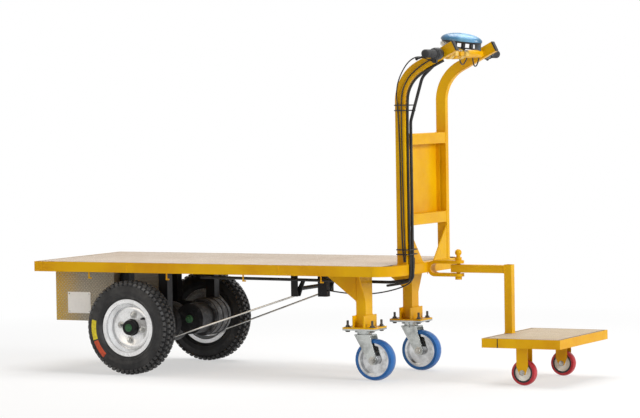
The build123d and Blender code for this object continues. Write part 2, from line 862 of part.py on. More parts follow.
def step_edge():
    """The step's edge, an angle frame with its flange under the board, and a pad for the post."""
    plan = Pos((step_x0 + step_x1) / 2, 0)
    outer = Rectangle(step_length, step_width)
    walled = Rectangle(step_length - 2 * step_edge_wall, step_width - 2 * step_edge_wall)
    open_foot = Rectangle(step_length - 2 * step_edge_height, step_width - 2 * step_edge_height)
    ring = extrude(plan * (outer - walled), step_edge_height)
    shelf = step_edge_height - step_board_thickness - step_edge_wall
    flange = Pos(0, 0, shelf) * extrude(plan * (outer - open_foot), step_edge_wall)
    frame = Pos(0, 0, step_under) * (ring + flange)
    return frame + block(step_x0, post_x1, -bar_size / 2, bar_size / 2, step_under + shelf, step_top)


def step_board():
    """The step's timber board, notched round the post's pad."""
    gap = board_gap + step_edge_wall
    board = block(step_x0 + gap, step_x1 - gap, -step_width / 2 + gap, step_width / 2 - gap,
                  step_top - step_board_thickness, step_top)
    notch = bar_size / 2 + board_gap
    return board - block(step_x0, post_x1 + board_gap, -notch, notch, step_under, step_top + overrun)


step_wheel_x = front + step_wheel_offset
step_wheel_z = step_wheel_diameter / 2
step_fork_wall = 4.0
step_fork_gap = 3.0
step_fork_width = 46.0
step_axle_radius = 5.0
step_nut_radius = 8.0
step_nut_height = 5.0
step_foot = step_top - step_board_thickness - step_edge_wall


def step_forks():
    """Fixed forks bent from flat bar, each with its axle bolt and a bearer across the frame."""
    forks = []
    for _, side in both_sides():
        y = side * step_wheel_track / 2
        gap = step_wheel_width / 2 + step_fork_gap
        x0, x1 = step_wheel_x - step_fork_width / 2, step_wheel_x + step_fork_width / 2
        top = step_foot
        fork = block(x0, x1, y - gap, y + gap, top - step_fork_wall, top)
        for hand in (-1, 1):
            y0, y1 = y + hand * gap, y + hand * (gap + step_fork_wall)
            fork += plate_xz(
                [(x0, top), (x1, top), (x1, step_wheel_z + step_fork_width / 2),
                 (step_wheel_x + step_nut_radius * 1.4, step_wheel_z - step_nut_radius),
                 (step_wheel_x - step_nut_radius * 1.4, step_wheel_z - step_nut_radius),
                 (x0, step_wheel_z + step_fork_width / 2)], y0, y1)
            fork += disc_y(step_wheel_x, y1, y + hand * (gap + step_fork_wall + step_nut_height), step_wheel_z,
                           step_nut_radius)
        fork += disc_y(step_wheel_x, y - gap, y + gap, step_wheel_z, step_axle_radius)
        forks.append(fork)
    return forks


def step_core(side):
    """The pale wheel body with a dark ring recess."""
    half = step_wheel_width / 2
    rim = step_wheel_diameter / 2 - step_wheel_tread
    bore = step_axle_radius + axle_clearance
    hub = step_nut_radius * 1.5
    web = half / 2
    points = [(bore, -half), (hub, -half), (hub, -web), (rim - web, -web), (rim - web, -half + 2), (rim, -half + 2),
              (rim, half - 2), (rim - web, half - 2), (rim - web, web), (hub, web), (hub, half), (bore, half)]
    return turned_y(points, step_wheel_x, side * step_wheel_track / 2, step_wheel_z)


def step_tread(side):
    """The red polyurethane tread."""
    outer = step_wheel_diameter / 2
    return rounded_tread(outer, outer - step_wheel_tread, step_wheel_width - 2, step_wheel_x,
                         side * step_wheel_track / 2, step_wheel_z)


# Assembly

front_edge, side_edges, rear_edge = deck_edges()
lamp_shell, lamp_body, lamp_lens = headlamp()
parts = {
    "edge_front": front_edge,
    "edge_sides": side_edges,
    "edge_rear": rear_edge,
    "handle_beam": handle_beam(),
    "deck_board": deck_board(),
    "deck_ribs": deck_ribs(),
    "tie_hooks": tie_hooks(),
    "battery_box": battery_box(),
    "battery_pack": battery_pack(),
    "axle_stands": axle_stands(),
    "drive_axle": drive_axle(),
    "drive_motor": drive_motor(),
    "brake_plates": brake_plates(),
    "brake_crank": brake_crank(),
    "brake_rods": brake_rods(),
    "cable_stop": cable_stop(),
    "caster_legs": caster_legs(),
    "caster_mounts": caster_mounts(),
    "caster_plates": caster_plates(),
    "uprights": uprights(),
    "upright_braces": upright_braces(),
    "handle_rails": handle_rails(),
    "handle_panel": handle_panel(),
    "crossbar": crossbar(),
    "handlebar": handlebar(),
    "grips": grips(),
    "brake_levers": brake_levers(),
    "lamp_shell": lamp_shell,
    "lamp_body": lamp_body,
    "lamp_lens": lamp_lens,
    "harness": harness(),
    "hitch_clevis": hitch_clevis(),
    "hitch_pin": hitch_pin(),
    "drawbar": drawbar(),
    "step_post": step_post(),
    "step_edge": step_edge(),
    "step_board": step_board(),
    "step_forks": step_forks(),
}
for name, side in both_sides():
    parts["tyre_" + name] = tyre_solid(side)
    parts["rim_" + name] = rim_solid(side)
    parts["drum_" + name] = drum_solid(side)
    parts["caster_fork_" + name] = fork_solid(side)
    parts["caster_core_" + name] = caster_core(side)
    parts["caster_tread_" + name] = caster_tread_ring(side)
    parts["step_core_" + name] = step_core(side)
    parts["step_tread_" + name] = step_tread(side)

os.makedirs("parts", exist_ok=True)
for name, shape in parts.items():
    solids = []
    for piece in shape if isinstance(shape, list) else [shape]:
        solids += piece.solids()
    export_step(Compound(children=solids), f"parts/{name}.step")
print(len(parts), "nodes")
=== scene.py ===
from math import cos, pi, radians, sin

import bmesh
import bpy
from mathutils import Matrix, Vector


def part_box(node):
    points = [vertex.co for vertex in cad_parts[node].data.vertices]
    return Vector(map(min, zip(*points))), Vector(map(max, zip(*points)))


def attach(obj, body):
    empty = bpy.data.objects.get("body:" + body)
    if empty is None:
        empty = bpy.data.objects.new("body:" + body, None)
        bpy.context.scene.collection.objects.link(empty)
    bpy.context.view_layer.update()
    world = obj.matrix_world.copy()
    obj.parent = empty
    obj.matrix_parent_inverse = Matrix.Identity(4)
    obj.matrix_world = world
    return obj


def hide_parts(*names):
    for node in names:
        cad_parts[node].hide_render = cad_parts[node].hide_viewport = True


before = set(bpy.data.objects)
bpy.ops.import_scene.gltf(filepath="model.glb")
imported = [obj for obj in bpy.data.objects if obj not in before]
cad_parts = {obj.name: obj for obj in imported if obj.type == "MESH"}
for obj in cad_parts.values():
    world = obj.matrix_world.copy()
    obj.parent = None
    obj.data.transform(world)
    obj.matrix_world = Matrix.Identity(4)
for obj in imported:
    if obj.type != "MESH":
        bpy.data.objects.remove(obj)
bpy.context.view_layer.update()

# Deck edge and ribs
# A 40 mm angle iron welded round the deck, flange inwards at its foot, on tubular cross ribs.
# Sprayed in golden yellow gloss enamel over the welds, a little thinner along the arrises.
YELLOW = (0.80, 0.45, 0.002)
YELLOW_DEEP = (0.70, 0.335, 0.001)
ENAMEL_ROUGHNESS = 0.34
ENAMEL_ARRIS = 0.0011


def set_sockets(node, values):
    for socket, value in values.items():
        node.inputs[socket].default_value = value


def node_in(tree, kind, values=None, **settings):
    """A new node, with its settings and the values of its sockets."""
    node = tree.nodes.new(kind)
    for key, value in settings.items():
        setattr(node, key, value)
    set_sockets(node, values or {})
    return node


class Finish:
    """A new material with its shader, and short calls that add and join its nodes."""

    def __init__(self, name, colour, roughness, metallic=0.0):
        self.material = bpy.data.materials.new(name)
        self.material.use_nodes = True
        self.tree = self.material.node_tree
        self.shader = self.tree.nodes["Principled BSDF"]
        set_sockets(self.shader, {"Base Color": (*colour, 1.0), "Roughness": roughness, "Metallic": metallic})
        self.material.diffuse_color = (*colour, 1.0)

    def add(self, kind, values=None, **settings):
        return node_in(self.tree, kind, values, **settings)

    def join(self, out, into):
        self.tree.links.new(out, into)

    def place(self, scale=(1.0, 1.0, 1.0), turn=(0.0, 0.0, 0.0), shift=(0.0, 0.0, 0.0)):
        """The piece's own coordinates, through a Mapping node."""
        coords = self.add("ShaderNodeTexCoord")
        mapping = self.add("ShaderNodeMapping", {"Scale": scale, "Rotation": turn, "Location": shift})
        self.join(coords.outputs["Object"], mapping.inputs["Vector"])
        return mapping.outputs["Vector"]

    def noise(self, where, scale, detail=4.0, roughness=0.55):
        node = self.add("ShaderNodeTexNoise", {"Scale": scale, "Detail": detail, "Roughness": roughness})
        self.join(where, node.inputs["Vector"])
        return node.outputs["Fac"]

    def ramp(self, value, stops):
        """A colour ramp; stops are (place, colour) pairs, where a number is a grey."""
        node = self.add("ShaderNodeValToRGB")
        for number, (place, colour) in enumerate(stops):
            stop = node.color_ramp.elements[number] if number < 2 else node.color_ramp.elements.new(place)
            stop.position = place
            stop.color = (*colour, 1.0) if isinstance(colour, tuple) else (colour, colour, colour, 1.0)
        self.join(value, node.inputs["Fac"])
        return node.outputs["Color"]

    def mix(self, share, first, second):
        """Two colours mixed; each is a node's output or a plain colour."""
        node = self.add("ShaderNodeMix", data_type="RGBA")
        for socket, value in ((0, share), (6, first), (7, second)):
            if isinstance(value, bpy.types.NodeSocket):
                self.join(value, node.inputs[socket])
            else:
                node.inputs[socket].default_value = (*value, 1.0) if isinstance(value, tuple) else value
        return node.outputs[2]

    def relief(self, height, depth, strength, arris=0.0):
        """Bump from a height, over softened arrises where arris is above zero."""
        bump = self.add("ShaderNodeBump", {"Distance": depth, "Strength": strength})
        self.join(height, bump.inputs["Height"])
        if arris:
            soft = self.add("ShaderNodeBevel", {"Radius": arris}, samples=6)
            self.join(soft.outputs["Normal"], bump.inputs["Normal"])
        self.join(bump.outputs["Normal"], self.shader.inputs["Normal"])

    def colour_from(self, out):
        self.join(out, self.shader.inputs["Base Color"])

    def drifting_roughness(self, where, scale, detail, low, high, high_stop=0.7):
        """Roughness that drifts between two values over the surface."""
        drift = self.ramp(self.noise(where, scale, detail), [(0.3, low), (high_stop, high)])
        self.join(drift, self.shader.inputs["Roughness"])


def enamel(name, colour, deep, roughness=ENAMEL_ROUGHNESS):
    """Sprayed gloss enamel: slow drift of tone, fine orange peel, faint scuffs and a soft arris."""
    coat = Finish(name, colour, roughness)
    where = coat.place()
    drift = coat.ramp(coat.noise(where, 5.0, 5.0), [(0.35, deep), (0.62, colour)])
    scuff_mask = coat.ramp(coat.noise(where, 38.0, 8.0, 0.7), [(0.66, 0.0), (0.74, 0.35)])
    scuffed = tuple(0.55 * c for c in deep)
    coat.colour_from(coat.mix(scuff_mask, drift, scuffed))
    coat.drifting_roughness(where, 60.0, 6.0, roughness * 0.8, roughness * 1.5, 0.75)
    set_sockets(coat.shader, {"Coat Weight": 0.06, "Coat Roughness": 0.08, "Specular IOR Level": 0.12})
    coat.relief(coat.noise(where, 420.0, 3.0), 0.0006, 0.22, ENAMEL_ARRIS)
    return coat.material


def dress(material, *names):
    """Give CAD nodes a material, by their material slots."""
    for name in names:
        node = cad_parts[name]
        for slot in node.material_slots:
            slot.material = material


yellow_enamel = enamel("yellow_enamel", YELLOW, YELLOW_DEEP)
FRAME_NODES = [
    "edge_front", "edge_sides", "edge_rear", "handle_beam", "deck_ribs", "tie_hooks", "hitch_pin",
    "caster_legs", "caster_mounts", "uprights", "upright_braces", "handle_rails", "handle_panel", "crossbar",
    "hitch_clevis", "drawbar", "step_post", "step_edge", "step_forks"]
dress(yellow_enamel, *FRAME_NODES)

# Deck boards
# Film-faced plywood with a wire-mesh imprint pressed in for grip, rubbed by loads, with painted shade
# along its rim under the angle iron's lip. The deck's board drops into the angle iron; a smaller piece of the
# sheet floors the step.
FILM = (0.60, 0.50, 0.41)
FILM_WORN = (0.74, 0.66, 0.58)
FILM_DARK = (0.34, 0.26, 0.18)
STEP_FILM = (0.74, 0.60, 0.38)
STEP_FILM_WORN = (0.82, 0.72, 0.52)
MESH_PITCH = 0.0075
# Width and colour of the painted shade along each board's rim.
RIM_SHADE_WIDTH = 0.014
RIM_SHADE = (0.07, 0.05, 0.03)


def border_share(film, node, width):
    """1 along the rim of a board, fading to 0 at width inside it."""
    low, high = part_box(node)
    split = film.add("ShaderNodeSeparateXYZ")
    film.join(film.place(), split.inputs["Vector"])
    shares = []
    for number, letter in enumerate("XY"):
        half = (high[number] - low[number]) / 2
        off = film.add("ShaderNodeMath", {1: (high[number] + low[number]) / 2}, operation="SUBTRACT")
        film.join(split.outputs[letter], off.inputs[0])
        far = film.add("ShaderNodeMath", operation="ABSOLUTE")
        film.join(off.outputs[0], far.inputs[0])
        near_rim = film.add("ShaderNodeMapRange", {"From Min": half - width, "From Max": half - width * 0.35})
        film.join(far.outputs[0], near_rim.inputs["Value"])
        shares.append(near_rim.outputs["Result"])
    most = film.add("ShaderNodeMath", operation="MAXIMUM")
    film.join(shares[0], most.inputs[0])
    film.join(shares[1], most.inputs[1])
    return most.outputs[0]


def mesh_film(name, node, colour, worn_colour):
    """The pressed film: rows of small lozenges, wear and scratches, and painted shade along the rim."""
    film = Finish(name, colour, 0.62)
    where = film.place(turn=(0.0, 0.0, radians(45)))
    lattice = film.add("ShaderNodeTexVoronoi", {"Scale": 1 / MESH_PITCH, "Randomness": 0.0},
                       feature="DISTANCE_TO_EDGE")
    film.join(where, lattice.inputs["Vector"])
    wires = film.ramp(lattice.outputs["Distance"], [(0.04, 1.0), (0.2, 0.0)])
    flat = film.place()
    blotch = film.ramp(film.noise(flat, 3.5, 8.0, 0.65), [(0.38, colour), (0.66, worn_colour)])
    drawn_out = film.place(scale=(1.2, 26.0, 1.0))
    streaks = film.ramp(film.noise(drawn_out, 6.0, 6.0, 0.7), [(0.56, 0.0), (0.72, 0.55)])
    worn = film.mix(streaks, blotch, worn_colour)
    pressed = film.mix(wires, worn, FILM_DARK)
    # Painted shade: a dark band along the rim, where the angle iron's lip overhangs the board.
    film.colour_from(film.mix(border_share(film, node, RIM_SHADE_WIDTH), pressed, RIM_SHADE))
    film.drifting_roughness(flat, 30.0, 4.0, 0.5, 0.75)
    film.relief(wires, 0.0005, 0.6)
    return film.material


dress(mesh_film("deck_film", "deck_board", FILM, FILM_WORN), "deck_board")
dress(mesh_film("step_film", "step_board", STEP_FILM, STEP_FILM_WORN), "step_board")

# Battery box
# A box folded from embossed sheet and hung under the deck, yellow at its front end and greying
# towards the rear with painted shade behind the wheel; its raised lozenges carry painted highlights.
BOX_GREY = (0.33, 0.295, 0.23)
BOX_OLIVE = (0.62, 0.37, 0.010)
BOX_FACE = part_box("battery_box")[0][1]
EMBOSS_PITCH = 0.0105
# Where the painted shade starts and where it is full, along the cart.
YELLOW_TO_SHADE = (-1.060, -0.88)


def along_cart(finish, low, high):
    """0 at one place along the cart and 1 at another."""
    split = finish.add("ShaderNodeSeparateXYZ")
    finish.join(finish.place(), split.inputs["Vector"])
    along = finish.add("ShaderNodeMapRange", {"From Min": low, "From Max": high})
    finish.join(split.outputs["X"], along.inputs["Value"])
    return along.outputs["Result"]


def embossed_sheet():
    """Hammered sheet: raised lozenges with painted highlights on their tops, yellow at the front edge, fading
    into painted grey shade towards the rear.
    """
    sheet = Finish("embossed_sheet", BOX_OLIVE, 0.42)
    where = sheet.place(turn=(0.0, radians(45), 0.0), shift=(0.0, -BOX_FACE, 0.0))
    cells = sheet.add("ShaderNodeTexVoronoi", {"Scale": 1 / EMBOSS_PITCH, "Randomness": 0.12})
    sheet.join(where, cells.inputs["Vector"])
    raised = sheet.ramp(cells.outputs["Distance"], [(0.18, 1.0), (0.46, 0.0)])
    # Painted shade: grey rising towards the rear behind the wheel, mottled a little by noise.
    shade_share = sheet.mix(0.3, along_cart(sheet, *YELLOW_TO_SHADE), sheet.noise(sheet.place(), 12.0, 7.0, 0.7))
    fade = sheet.ramp(shade_share, [(0.12, BOX_OLIVE), (0.62, BOX_GREY)])
    # Painted highlight: the raised lozenges' tops are paler than the sheet round them.
    pale = tuple(1.55 * c for c in BOX_GREY)
    sheet.colour_from(sheet.mix(sheet.ramp(raised, [(0.3, 0.0), (0.9, 0.8)]), fade, pale))
    sheet.relief(raised, 0.0018, 0.9, ENAMEL_ARRIS)
    return sheet.material


dress(embossed_sheet(), "battery_box")

# Drive wheels: tyres
# Eight-inch pneumatic tyres with square tread blocks in staggered rows and castellated shoulders.
# The casing is one lathe-turned skin inside the solid's box; the blocks stand on it in rings.
BLACK_RUBBER = (0.017, 0.017, 0.018)
DUSTY_RUBBER = (0.062, 0.061, 0.060)
BLOCK_DEPTH = 0.0075
ROW_COUNT = 52
LATHE_STEPS = 128
SHARP_ANGLE = radians(38)
SHOULDER_TILT = radians(38)


def smooth(mesh, sharp_angle=SHARP_ANGLE):
    mesh.polygons.foreach_set("use_smooth", [True] * len(mesh.polygons))
    mesh.set_sharp_from_angle(angle=sharp_angle)


def shown(name, mesh):
    """A new object at the origin that shows a mesh."""
    piece = bpy.data.objects.new(name, mesh)
    bpy.context.scene.collection.objects.link(piece)
    return piece


def from_bmesh(name, work, material):
    """The finished mesh of some bmesh work, smoothed and painted, as a new object."""
    bmesh.ops.remove_doubles(work, verts=work.verts, dist=1e-6)
    bmesh.ops.recalc_face_normals(work, faces=work.faces)
    mesh = bpy.data.meshes.new(name)
    work.to_mesh(mesh)
    work.free()
    mesh.materials.append(material)
    smooth(mesh)
    return shown(name, mesh)


def skin_over(work, rings, closed=False):
    """Faces between each ring of points and the next."""
    following = rings[1:] + rings[:1] if closed else rings[1:]
    for ring, other in zip(rings, following):
        for k in range(len(ring)):
            j = (k + 1) % len(ring)
            work.faces.new((ring[k], ring[j], other[j], other[k]))


def turned(name, profile, centre, material, axis="Y", steps=LATHE_STEPS, start=0.0, sweep=2 * pi):
    """A lathe-turned skin; profile is a closed run of (radius, distance along the axis) pairs."""
    work = bmesh.new()
    full = abs(sweep - 2 * pi) < 1e-6
    rings = []
    for step in range(steps if full else steps + 1):
        angle = start + sweep * step / steps
        ring = []
        for radius, along in profile:
            across, up = radius * cos(angle), radius * sin(angle)
            place = (across, along, up) if axis == "Y" else (across, up, along)
            ring.append(work.verts.new(Vector(centre) + Vector(place)))
        rings.append(ring)
    skin_over(work, rings, closed=full)
    if not full:
        work.faces.new(rings[0])
        work.faces.new(list(reversed(rings[-1])))
    return from_bmesh(name, work, material)


def on_side(profile, side):
    """A profile as it stands on the left (1) or the right (-1)."""
    return [(radius, side * along) for radius, along in profile]


def centre_of(node):
    low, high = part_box(node)
    return (Vector(low) + Vector(high)) / 2


def rubber(name, colour, dusty, roughness, grain=300.0):
    """Moulded rubber: dust in patches, fine grain, a dull sheen."""
    skin = Finish(name, colour, roughness)
    set_sockets(skin.shader, {"Specular IOR Level": 0.3})
    where = skin.place()
    dust = skin.ramp(skin.noise(where, 14.0, 8.0, 0.65), [(0.42, colour), (0.78, dusty)])
    skin.colour_from(dust)
    skin.drifting_roughness(where, 45.0, 4.0, roughness * 0.85, min(1.0, roughness * 1.2), 0.75)
    skin.relief(skin.noise(where, grain, 4.0), 0.0005, 0.3)
    return skin.material


def tree_with(name, *inputs):
    """A Geometry Nodes tree with geometry in and out; the other inputs are (name, kind, value)."""
    tree = bpy.data.node_groups.new(name, "GeometryNodeTree")
    tree.interface.new_socket("Geometry", in_out="INPUT", socket_type="NodeSocketGeometry")
    for label, kind, value in inputs:
        socket = tree.interface.new_socket(label, in_out="INPUT", socket_type=kind)
        if value is not None:
            socket.default_value = value
    tree.interface.new_socket("Geometry", in_out="OUTPUT", socket_type="NodeSocketGeometry")
    return tree, node_in(tree, "NodeGroupInput"), node_in(tree, "NodeGroupOutput")


def wire(tree, *pairs):
    for out, into in pairs:
        tree.links.new(out, into)


def finish_tree(tree, entry, leave, copies):
    """Realize Instances and Set Material, the last nodes of every tree."""
    realize = node_in(tree, "GeometryNodeRealizeInstances")
    paint = node_in(tree, "GeometryNodeSetMaterial")
    wire(tree, (copies, realize.inputs[0]), (realize.outputs[0], paint.inputs["Geometry"]),
         (entry.outputs["Material"], paint.inputs["Material"]), (paint.outputs[0], leave.inputs[0]))


def grown(name, seed_mesh, tree, sharp_angle=SHARP_ANGLE, **inputs):
    """The plain mesh that a tree makes from a seed mesh, as a new piece."""
    piece = shown(name, seed_mesh)
    modifier = piece.modifiers.new("grow", "NODES")
    modifier.node_group = tree
    for item in tree.interface.items_tree:
        label = item.name.replace(" ", "_").lower()
        if item.in_out == "INPUT" and label in inputs:
            modifier[item.identifier] = inputs[label]
    made = bpy.data.meshes.new_from_object(piece.evaluated_get(bpy.context.evaluated_depsgraph_get()))
    piece.modifiers.clear()
    piece.data = made
    smooth(made, sharp_angle)
    return piece


def block_mesh(name, length, width, height, shrink=0.8):
    """A small tapered block on the origin, standing along +Z, for rows of copies."""
    mesh = bpy.data.meshes.new(name)
    corners = [(-1, -1), (1, -1), (1, 1), (-1, 1)]
    low = [(x * length / 2, y * width / 2, -height * 0.3) for x, y in corners]
    high = [(x * length / 2 * shrink, y * width / 2 * shrink, height) for x, y in corners]
    faces = [(0, 3, 2, 1), (4, 5, 6, 7)] + [(i, (i + 1) % 4, (i + 1) % 4 + 4, i + 4) for i in range(4)]
    mesh.from_pydata(low + high, [], faces)
    return mesh


def ring_tree():
    """Copies of one block round the Y axis: count, radius, place along the axis, stagger and tilt."""
    tree, entry, leave = tree_with(
        "tread_row", ("Count", "NodeSocketInt", 8), ("Radius", "NodeSocketFloat", 0.1),
        ("Along", "NodeSocketFloat", 0.0), ("Stagger", "NodeSocketFloat", 0.0),
        ("Tilt", "NodeSocketFloat", 0.0), ("Centre", "NodeSocketVector", None),
        ("Material", "NodeSocketMaterial", None))
    points = node_in(tree, "GeometryNodePoints")
    index = node_in(tree, "GeometryNodeInputIndex")
    turn = node_in(tree, "ShaderNodeMath", operation="DIVIDE")
    added = node_in(tree, "ShaderNodeMath", operation="ADD")
    full = node_in(tree, "ShaderNodeMath", {1: 2 * pi}, operation="MULTIPLY")
    spin = node_in(tree, "FunctionNodeAxisAngleToRotation", {"Axis": (0.0, 1.0, 0.0)})
    tilt = node_in(tree, "FunctionNodeAxisAngleToRotation", {"Axis": (1.0, 0.0, 0.0)})
    whole = node_in(tree, "FunctionNodeRotateRotation", rotation_space="LOCAL")
    reach = node_in(tree, "ShaderNodeCombineXYZ")
    carried = node_in(tree, "FunctionNodeRotateVector")
    shift = node_in(tree, "ShaderNodeVectorMath")
    moved = node_in(tree, "GeometryNodeSetPosition")
    copies = node_in(tree, "GeometryNodeInstanceOnPoints")
    wire(tree,
         (entry.outputs["Count"], points.inputs["Count"]), (index.outputs[0], added.inputs[0]),
         (entry.outputs["Stagger"], added.inputs[1]), (added.outputs[0], turn.inputs[0]),
         (entry.outputs["Count"], turn.inputs[1]), (turn.outputs[0], full.inputs[0]),
         (full.outputs[0], spin.inputs["Angle"]), (entry.outputs["Tilt"], tilt.inputs["Angle"]),
         (spin.outputs[0], whole.inputs["Rotation"]), (tilt.outputs[0], whole.inputs["Rotate By"]),
         (entry.outputs["Radius"], reach.inputs["Z"]), (entry.outputs["Along"], reach.inputs["Y"]),
         (reach.outputs[0], carried.inputs["Vector"]), (spin.outputs[0], carried.inputs["Rotation"]),
         (carried.outputs[0], shift.inputs[0]), (entry.outputs["Centre"], shift.inputs[1]),
         (points.outputs[0], moved.inputs["Geometry"]), (shift.outputs[0], moved.inputs["Position"]),
         (moved.outputs[0], copies.inputs["Points"]), (entry.outputs["Geometry"], copies.inputs["Instance"]),
         (whole.outputs[0], copies.inputs["Rotation"]))
    finish_tree(tree, entry, leave, copies.outputs[0])
    return tree


tyre_rubber = rubber("tyre_rubber", BLACK_RUBBER, DUSTY_RUBBER, 0.55)
# A lighter copy of the tyre rubber for the blocks: painted highlight on their tops.
block_rubber = rubber("block_rubber", (0.030, 0.030, 0.031), (0.10, 0.10, 0.10), 0.5)
# A near-black copy of the tyre rubber: painted shade in the grooves between the blocks.
groove_rubber = rubber("groove_rubber", (0.006, 0.006, 0.007), (0.014, 0.014, 0.014), 0.8)
tread_row = ring_tree()


def joined(name, pieces, sharp_degrees=None):
    """Several pieces as one, with their materials kept, and smoothed anew if an angle is given."""
    work = bmesh.new()
    materials = []
    for piece in pieces:
        numbers = []
        for material in piece.data.materials:
            if material not in materials:
                materials.append(material)
            numbers.append(materials.index(material))
        start = len(work.faces)
        work.from_mesh(piece.data)
        work.faces.ensure_lookup_table()
        for face in work.faces[start:]:
            face.material_index = numbers[min(face.material_index, len(numbers) - 1)]
        bpy.data.objects.remove(piece)
    mesh = bpy.data.meshes.new(name)
    work.to_mesh(mesh)
    work.free()
    for material in materials:
        mesh.materials.append(material)
    if sharp_degrees:
        smooth(mesh, radians(sharp_degrees))
    return shown(name, mesh)


def flash_paint(name, colour, wear=0.72):
    """A printed colour patch, a little chalky."""
    paint = Finish(name, colour, 0.55)
    where = paint.place()
    worn = tuple(wear * c for c in colour)
    paint.colour_from(paint.ramp(paint.noise(where, 90.0, 6.0), [(0.35, worn), (0.55, colour)]))
    paint.relief(paint.noise(where, 300.0), 0.0003, 0.2)
    return paint.material


flash_yellow = flash_paint("flash_yellow", (0.80, 0.66, 0.02))
flash_red = flash_paint("flash_red", (0.62, 0.075, 0.02))
FLASHES = ((flash_yellow, 169, 30), (flash_red, 201, 27))
SIDES = (("left", 1), ("right", -1))


def make_tyre(name, side):
    low, high = (Vector(v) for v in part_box("tyre_" + name))
    hub = (low + high) / 2
    outer = (high.z - low.z) / 2
    half = (high.y - low.y) / 2
    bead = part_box("rim_" + name)
    lip = (bead[1][2] - bead[0][2]) / 2
    crown = outer - BLOCK_DEPTH
    shoulder = crown - 0.007
    profile = [(lip - 0.006, half * 0.60), (lip + 0.003, half * 0.66), (lip + 0.006, half * 0.80),
               (lip + 0.012, half * 0.90), (lip + 0.0135, half * 0.93), (lip + 0.016, half * 0.91),
               (lip + 0.030, half * 0.985), (lip + 0.032, half * 0.955), (lip + 0.046, half * 0.93),
               (shoulder - 0.004, half * 0.86), (shoulder, half * 0.80), (crown - 0.002, half * 0.55),
               (crown, 0.0)]
    whole = profile + [(radius, -along) for radius, along in reversed(profile[:-1])]
    casing = turned("casing", whole, hub, tyre_rubber)
    # Faces out on the crown, between the blocks, take the painted shade of the grooves.
    casing.data.materials.append(groove_rubber)
    for face in casing.data.polygons:
        off = face.center - hub
        face.material_index = int((off.x ** 2 + off.z ** 2) ** 0.5 > shoulder - 0.003)
    rows = [casing]
    middle = block_mesh("middle_block", 0.0150, 0.0155, BLOCK_DEPTH * 0.97)
    for along, stagger in ((0.0, 0.0), (0.0185, 0.5), (-0.0185, 0.5)):
        rows.append(grown("row", middle.copy(), tread_row, count=ROW_COUNT, radius=crown - 0.0012,
                          along=along, stagger=stagger, centre=tuple(hub), material=block_rubber))
    edge = block_mesh("shoulder_block", 0.0145, 0.0120, BLOCK_DEPTH * 0.95, 0.86)
    for hand in (-1, 1):
        rows.append(grown("row", edge.copy(), tread_row, count=ROW_COUNT, radius=shoulder - 0.0025,
                          along=hand * half * 0.80, tilt=-hand * SHOULDER_TILT, centre=tuple(hub),
                          material=block_rubber))
    for material, start, sweep in FLASHES:
        band = [(lip + 0.0245, side * (half * 0.975)), (lip + 0.0300, side * (half * 0.997)),
                (lip + 0.0340, side * (half * 0.972)), (lip + 0.0455, side * (half * 0.948))]
        strip = [(r, a - side * 0.004) for r, a in reversed(band)]
        from_angle = 180 - start if side > 0 else start
        rows.append(turned("flash", band + strip, hub, material, steps=14, start=radians(from_angle),
                           sweep=radians(-side * sweep)))
    tyre = joined("tread_tyre_" + name, rows, 34)
    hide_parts("tyre_" + name)
    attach(tyre, "drive_wheel_" + name)


for name, side in SIDES:
    make_tyre(name, side)

# Drive wheels: rims
# Pressed steel rims with rolled lips, a drop centre and a stepped disc, in silver wheel lacquer.
# Four nuts on domed washers hold each rim; a black hub cap and a rubber valve finish it.
SILVER = (0.88, 0.89, 0.90)
DISC_FACE = 0.3070
NUT_CIRCLE = 0.050
NUT_ANGLES = (80, 170, 260, 350)
VALVE_ANGLE = 32
VALVE_CIRCLE = 0.068


def lacquer(name, colour, roughness, metallic, dark_share=0.72):
    """Silver lacquer or plating: fine flake, faint runs and dust."""
    coat = Finish(name, colour, roughness, metallic)
    where = coat.place()
    dim = tuple(dark_share * c for c in colour)
    coat.colour_from(coat.ramp(coat.noise(where, 22.0, 7.0, 0.6), [(0.36, dim), (0.60, colour)]))
    coat.drifting_roughness(where, 900.0, 2.0, roughness * 0.7, roughness * 1.4)
    coat.relief(coat.noise(where, 260.0, 3.0), 0.0004, 0.25, 0.0006)
    return coat.material


def layered(name, layers):
    """A small stack along +Z from the origin: each layer is its sides and its (radius, height) rows."""
    work = bmesh.new()
    for sides, rows in layers:
        angles = [2 * pi * k / sides for k in range(sides)]
        rings = [[work.verts.new((r * cos(angle), r * sin(angle), h)) for angle in angles] for r, h in rows]
        skin_over(work, rings)
        work.faces.new(list(reversed(rings[0])))
        work.faces.new(rings[-1])
    mesh = bpy.data.meshes.new(name)
    work.to_mesh(mesh)
    work.free()
    return mesh


def hex_nut(name, radius, height, thread=0.0, washer=1.45):
    """A chamfered nut on its washer, with a little of the bolt's thread past it."""
    base = height * 0.22
    layers = [(20, [(radius * washer, 0.0), (radius * washer, base)]),
              (6, [(radius, base), (radius, height * 0.9), (radius * 0.88, height)])]
    if thread:
        bolt = radius * 0.55
        layers.append((12, [(bolt, base), (bolt, height + thread * 0.9), (radius * 0.42, height + thread)]))
    return layered(name, layers)


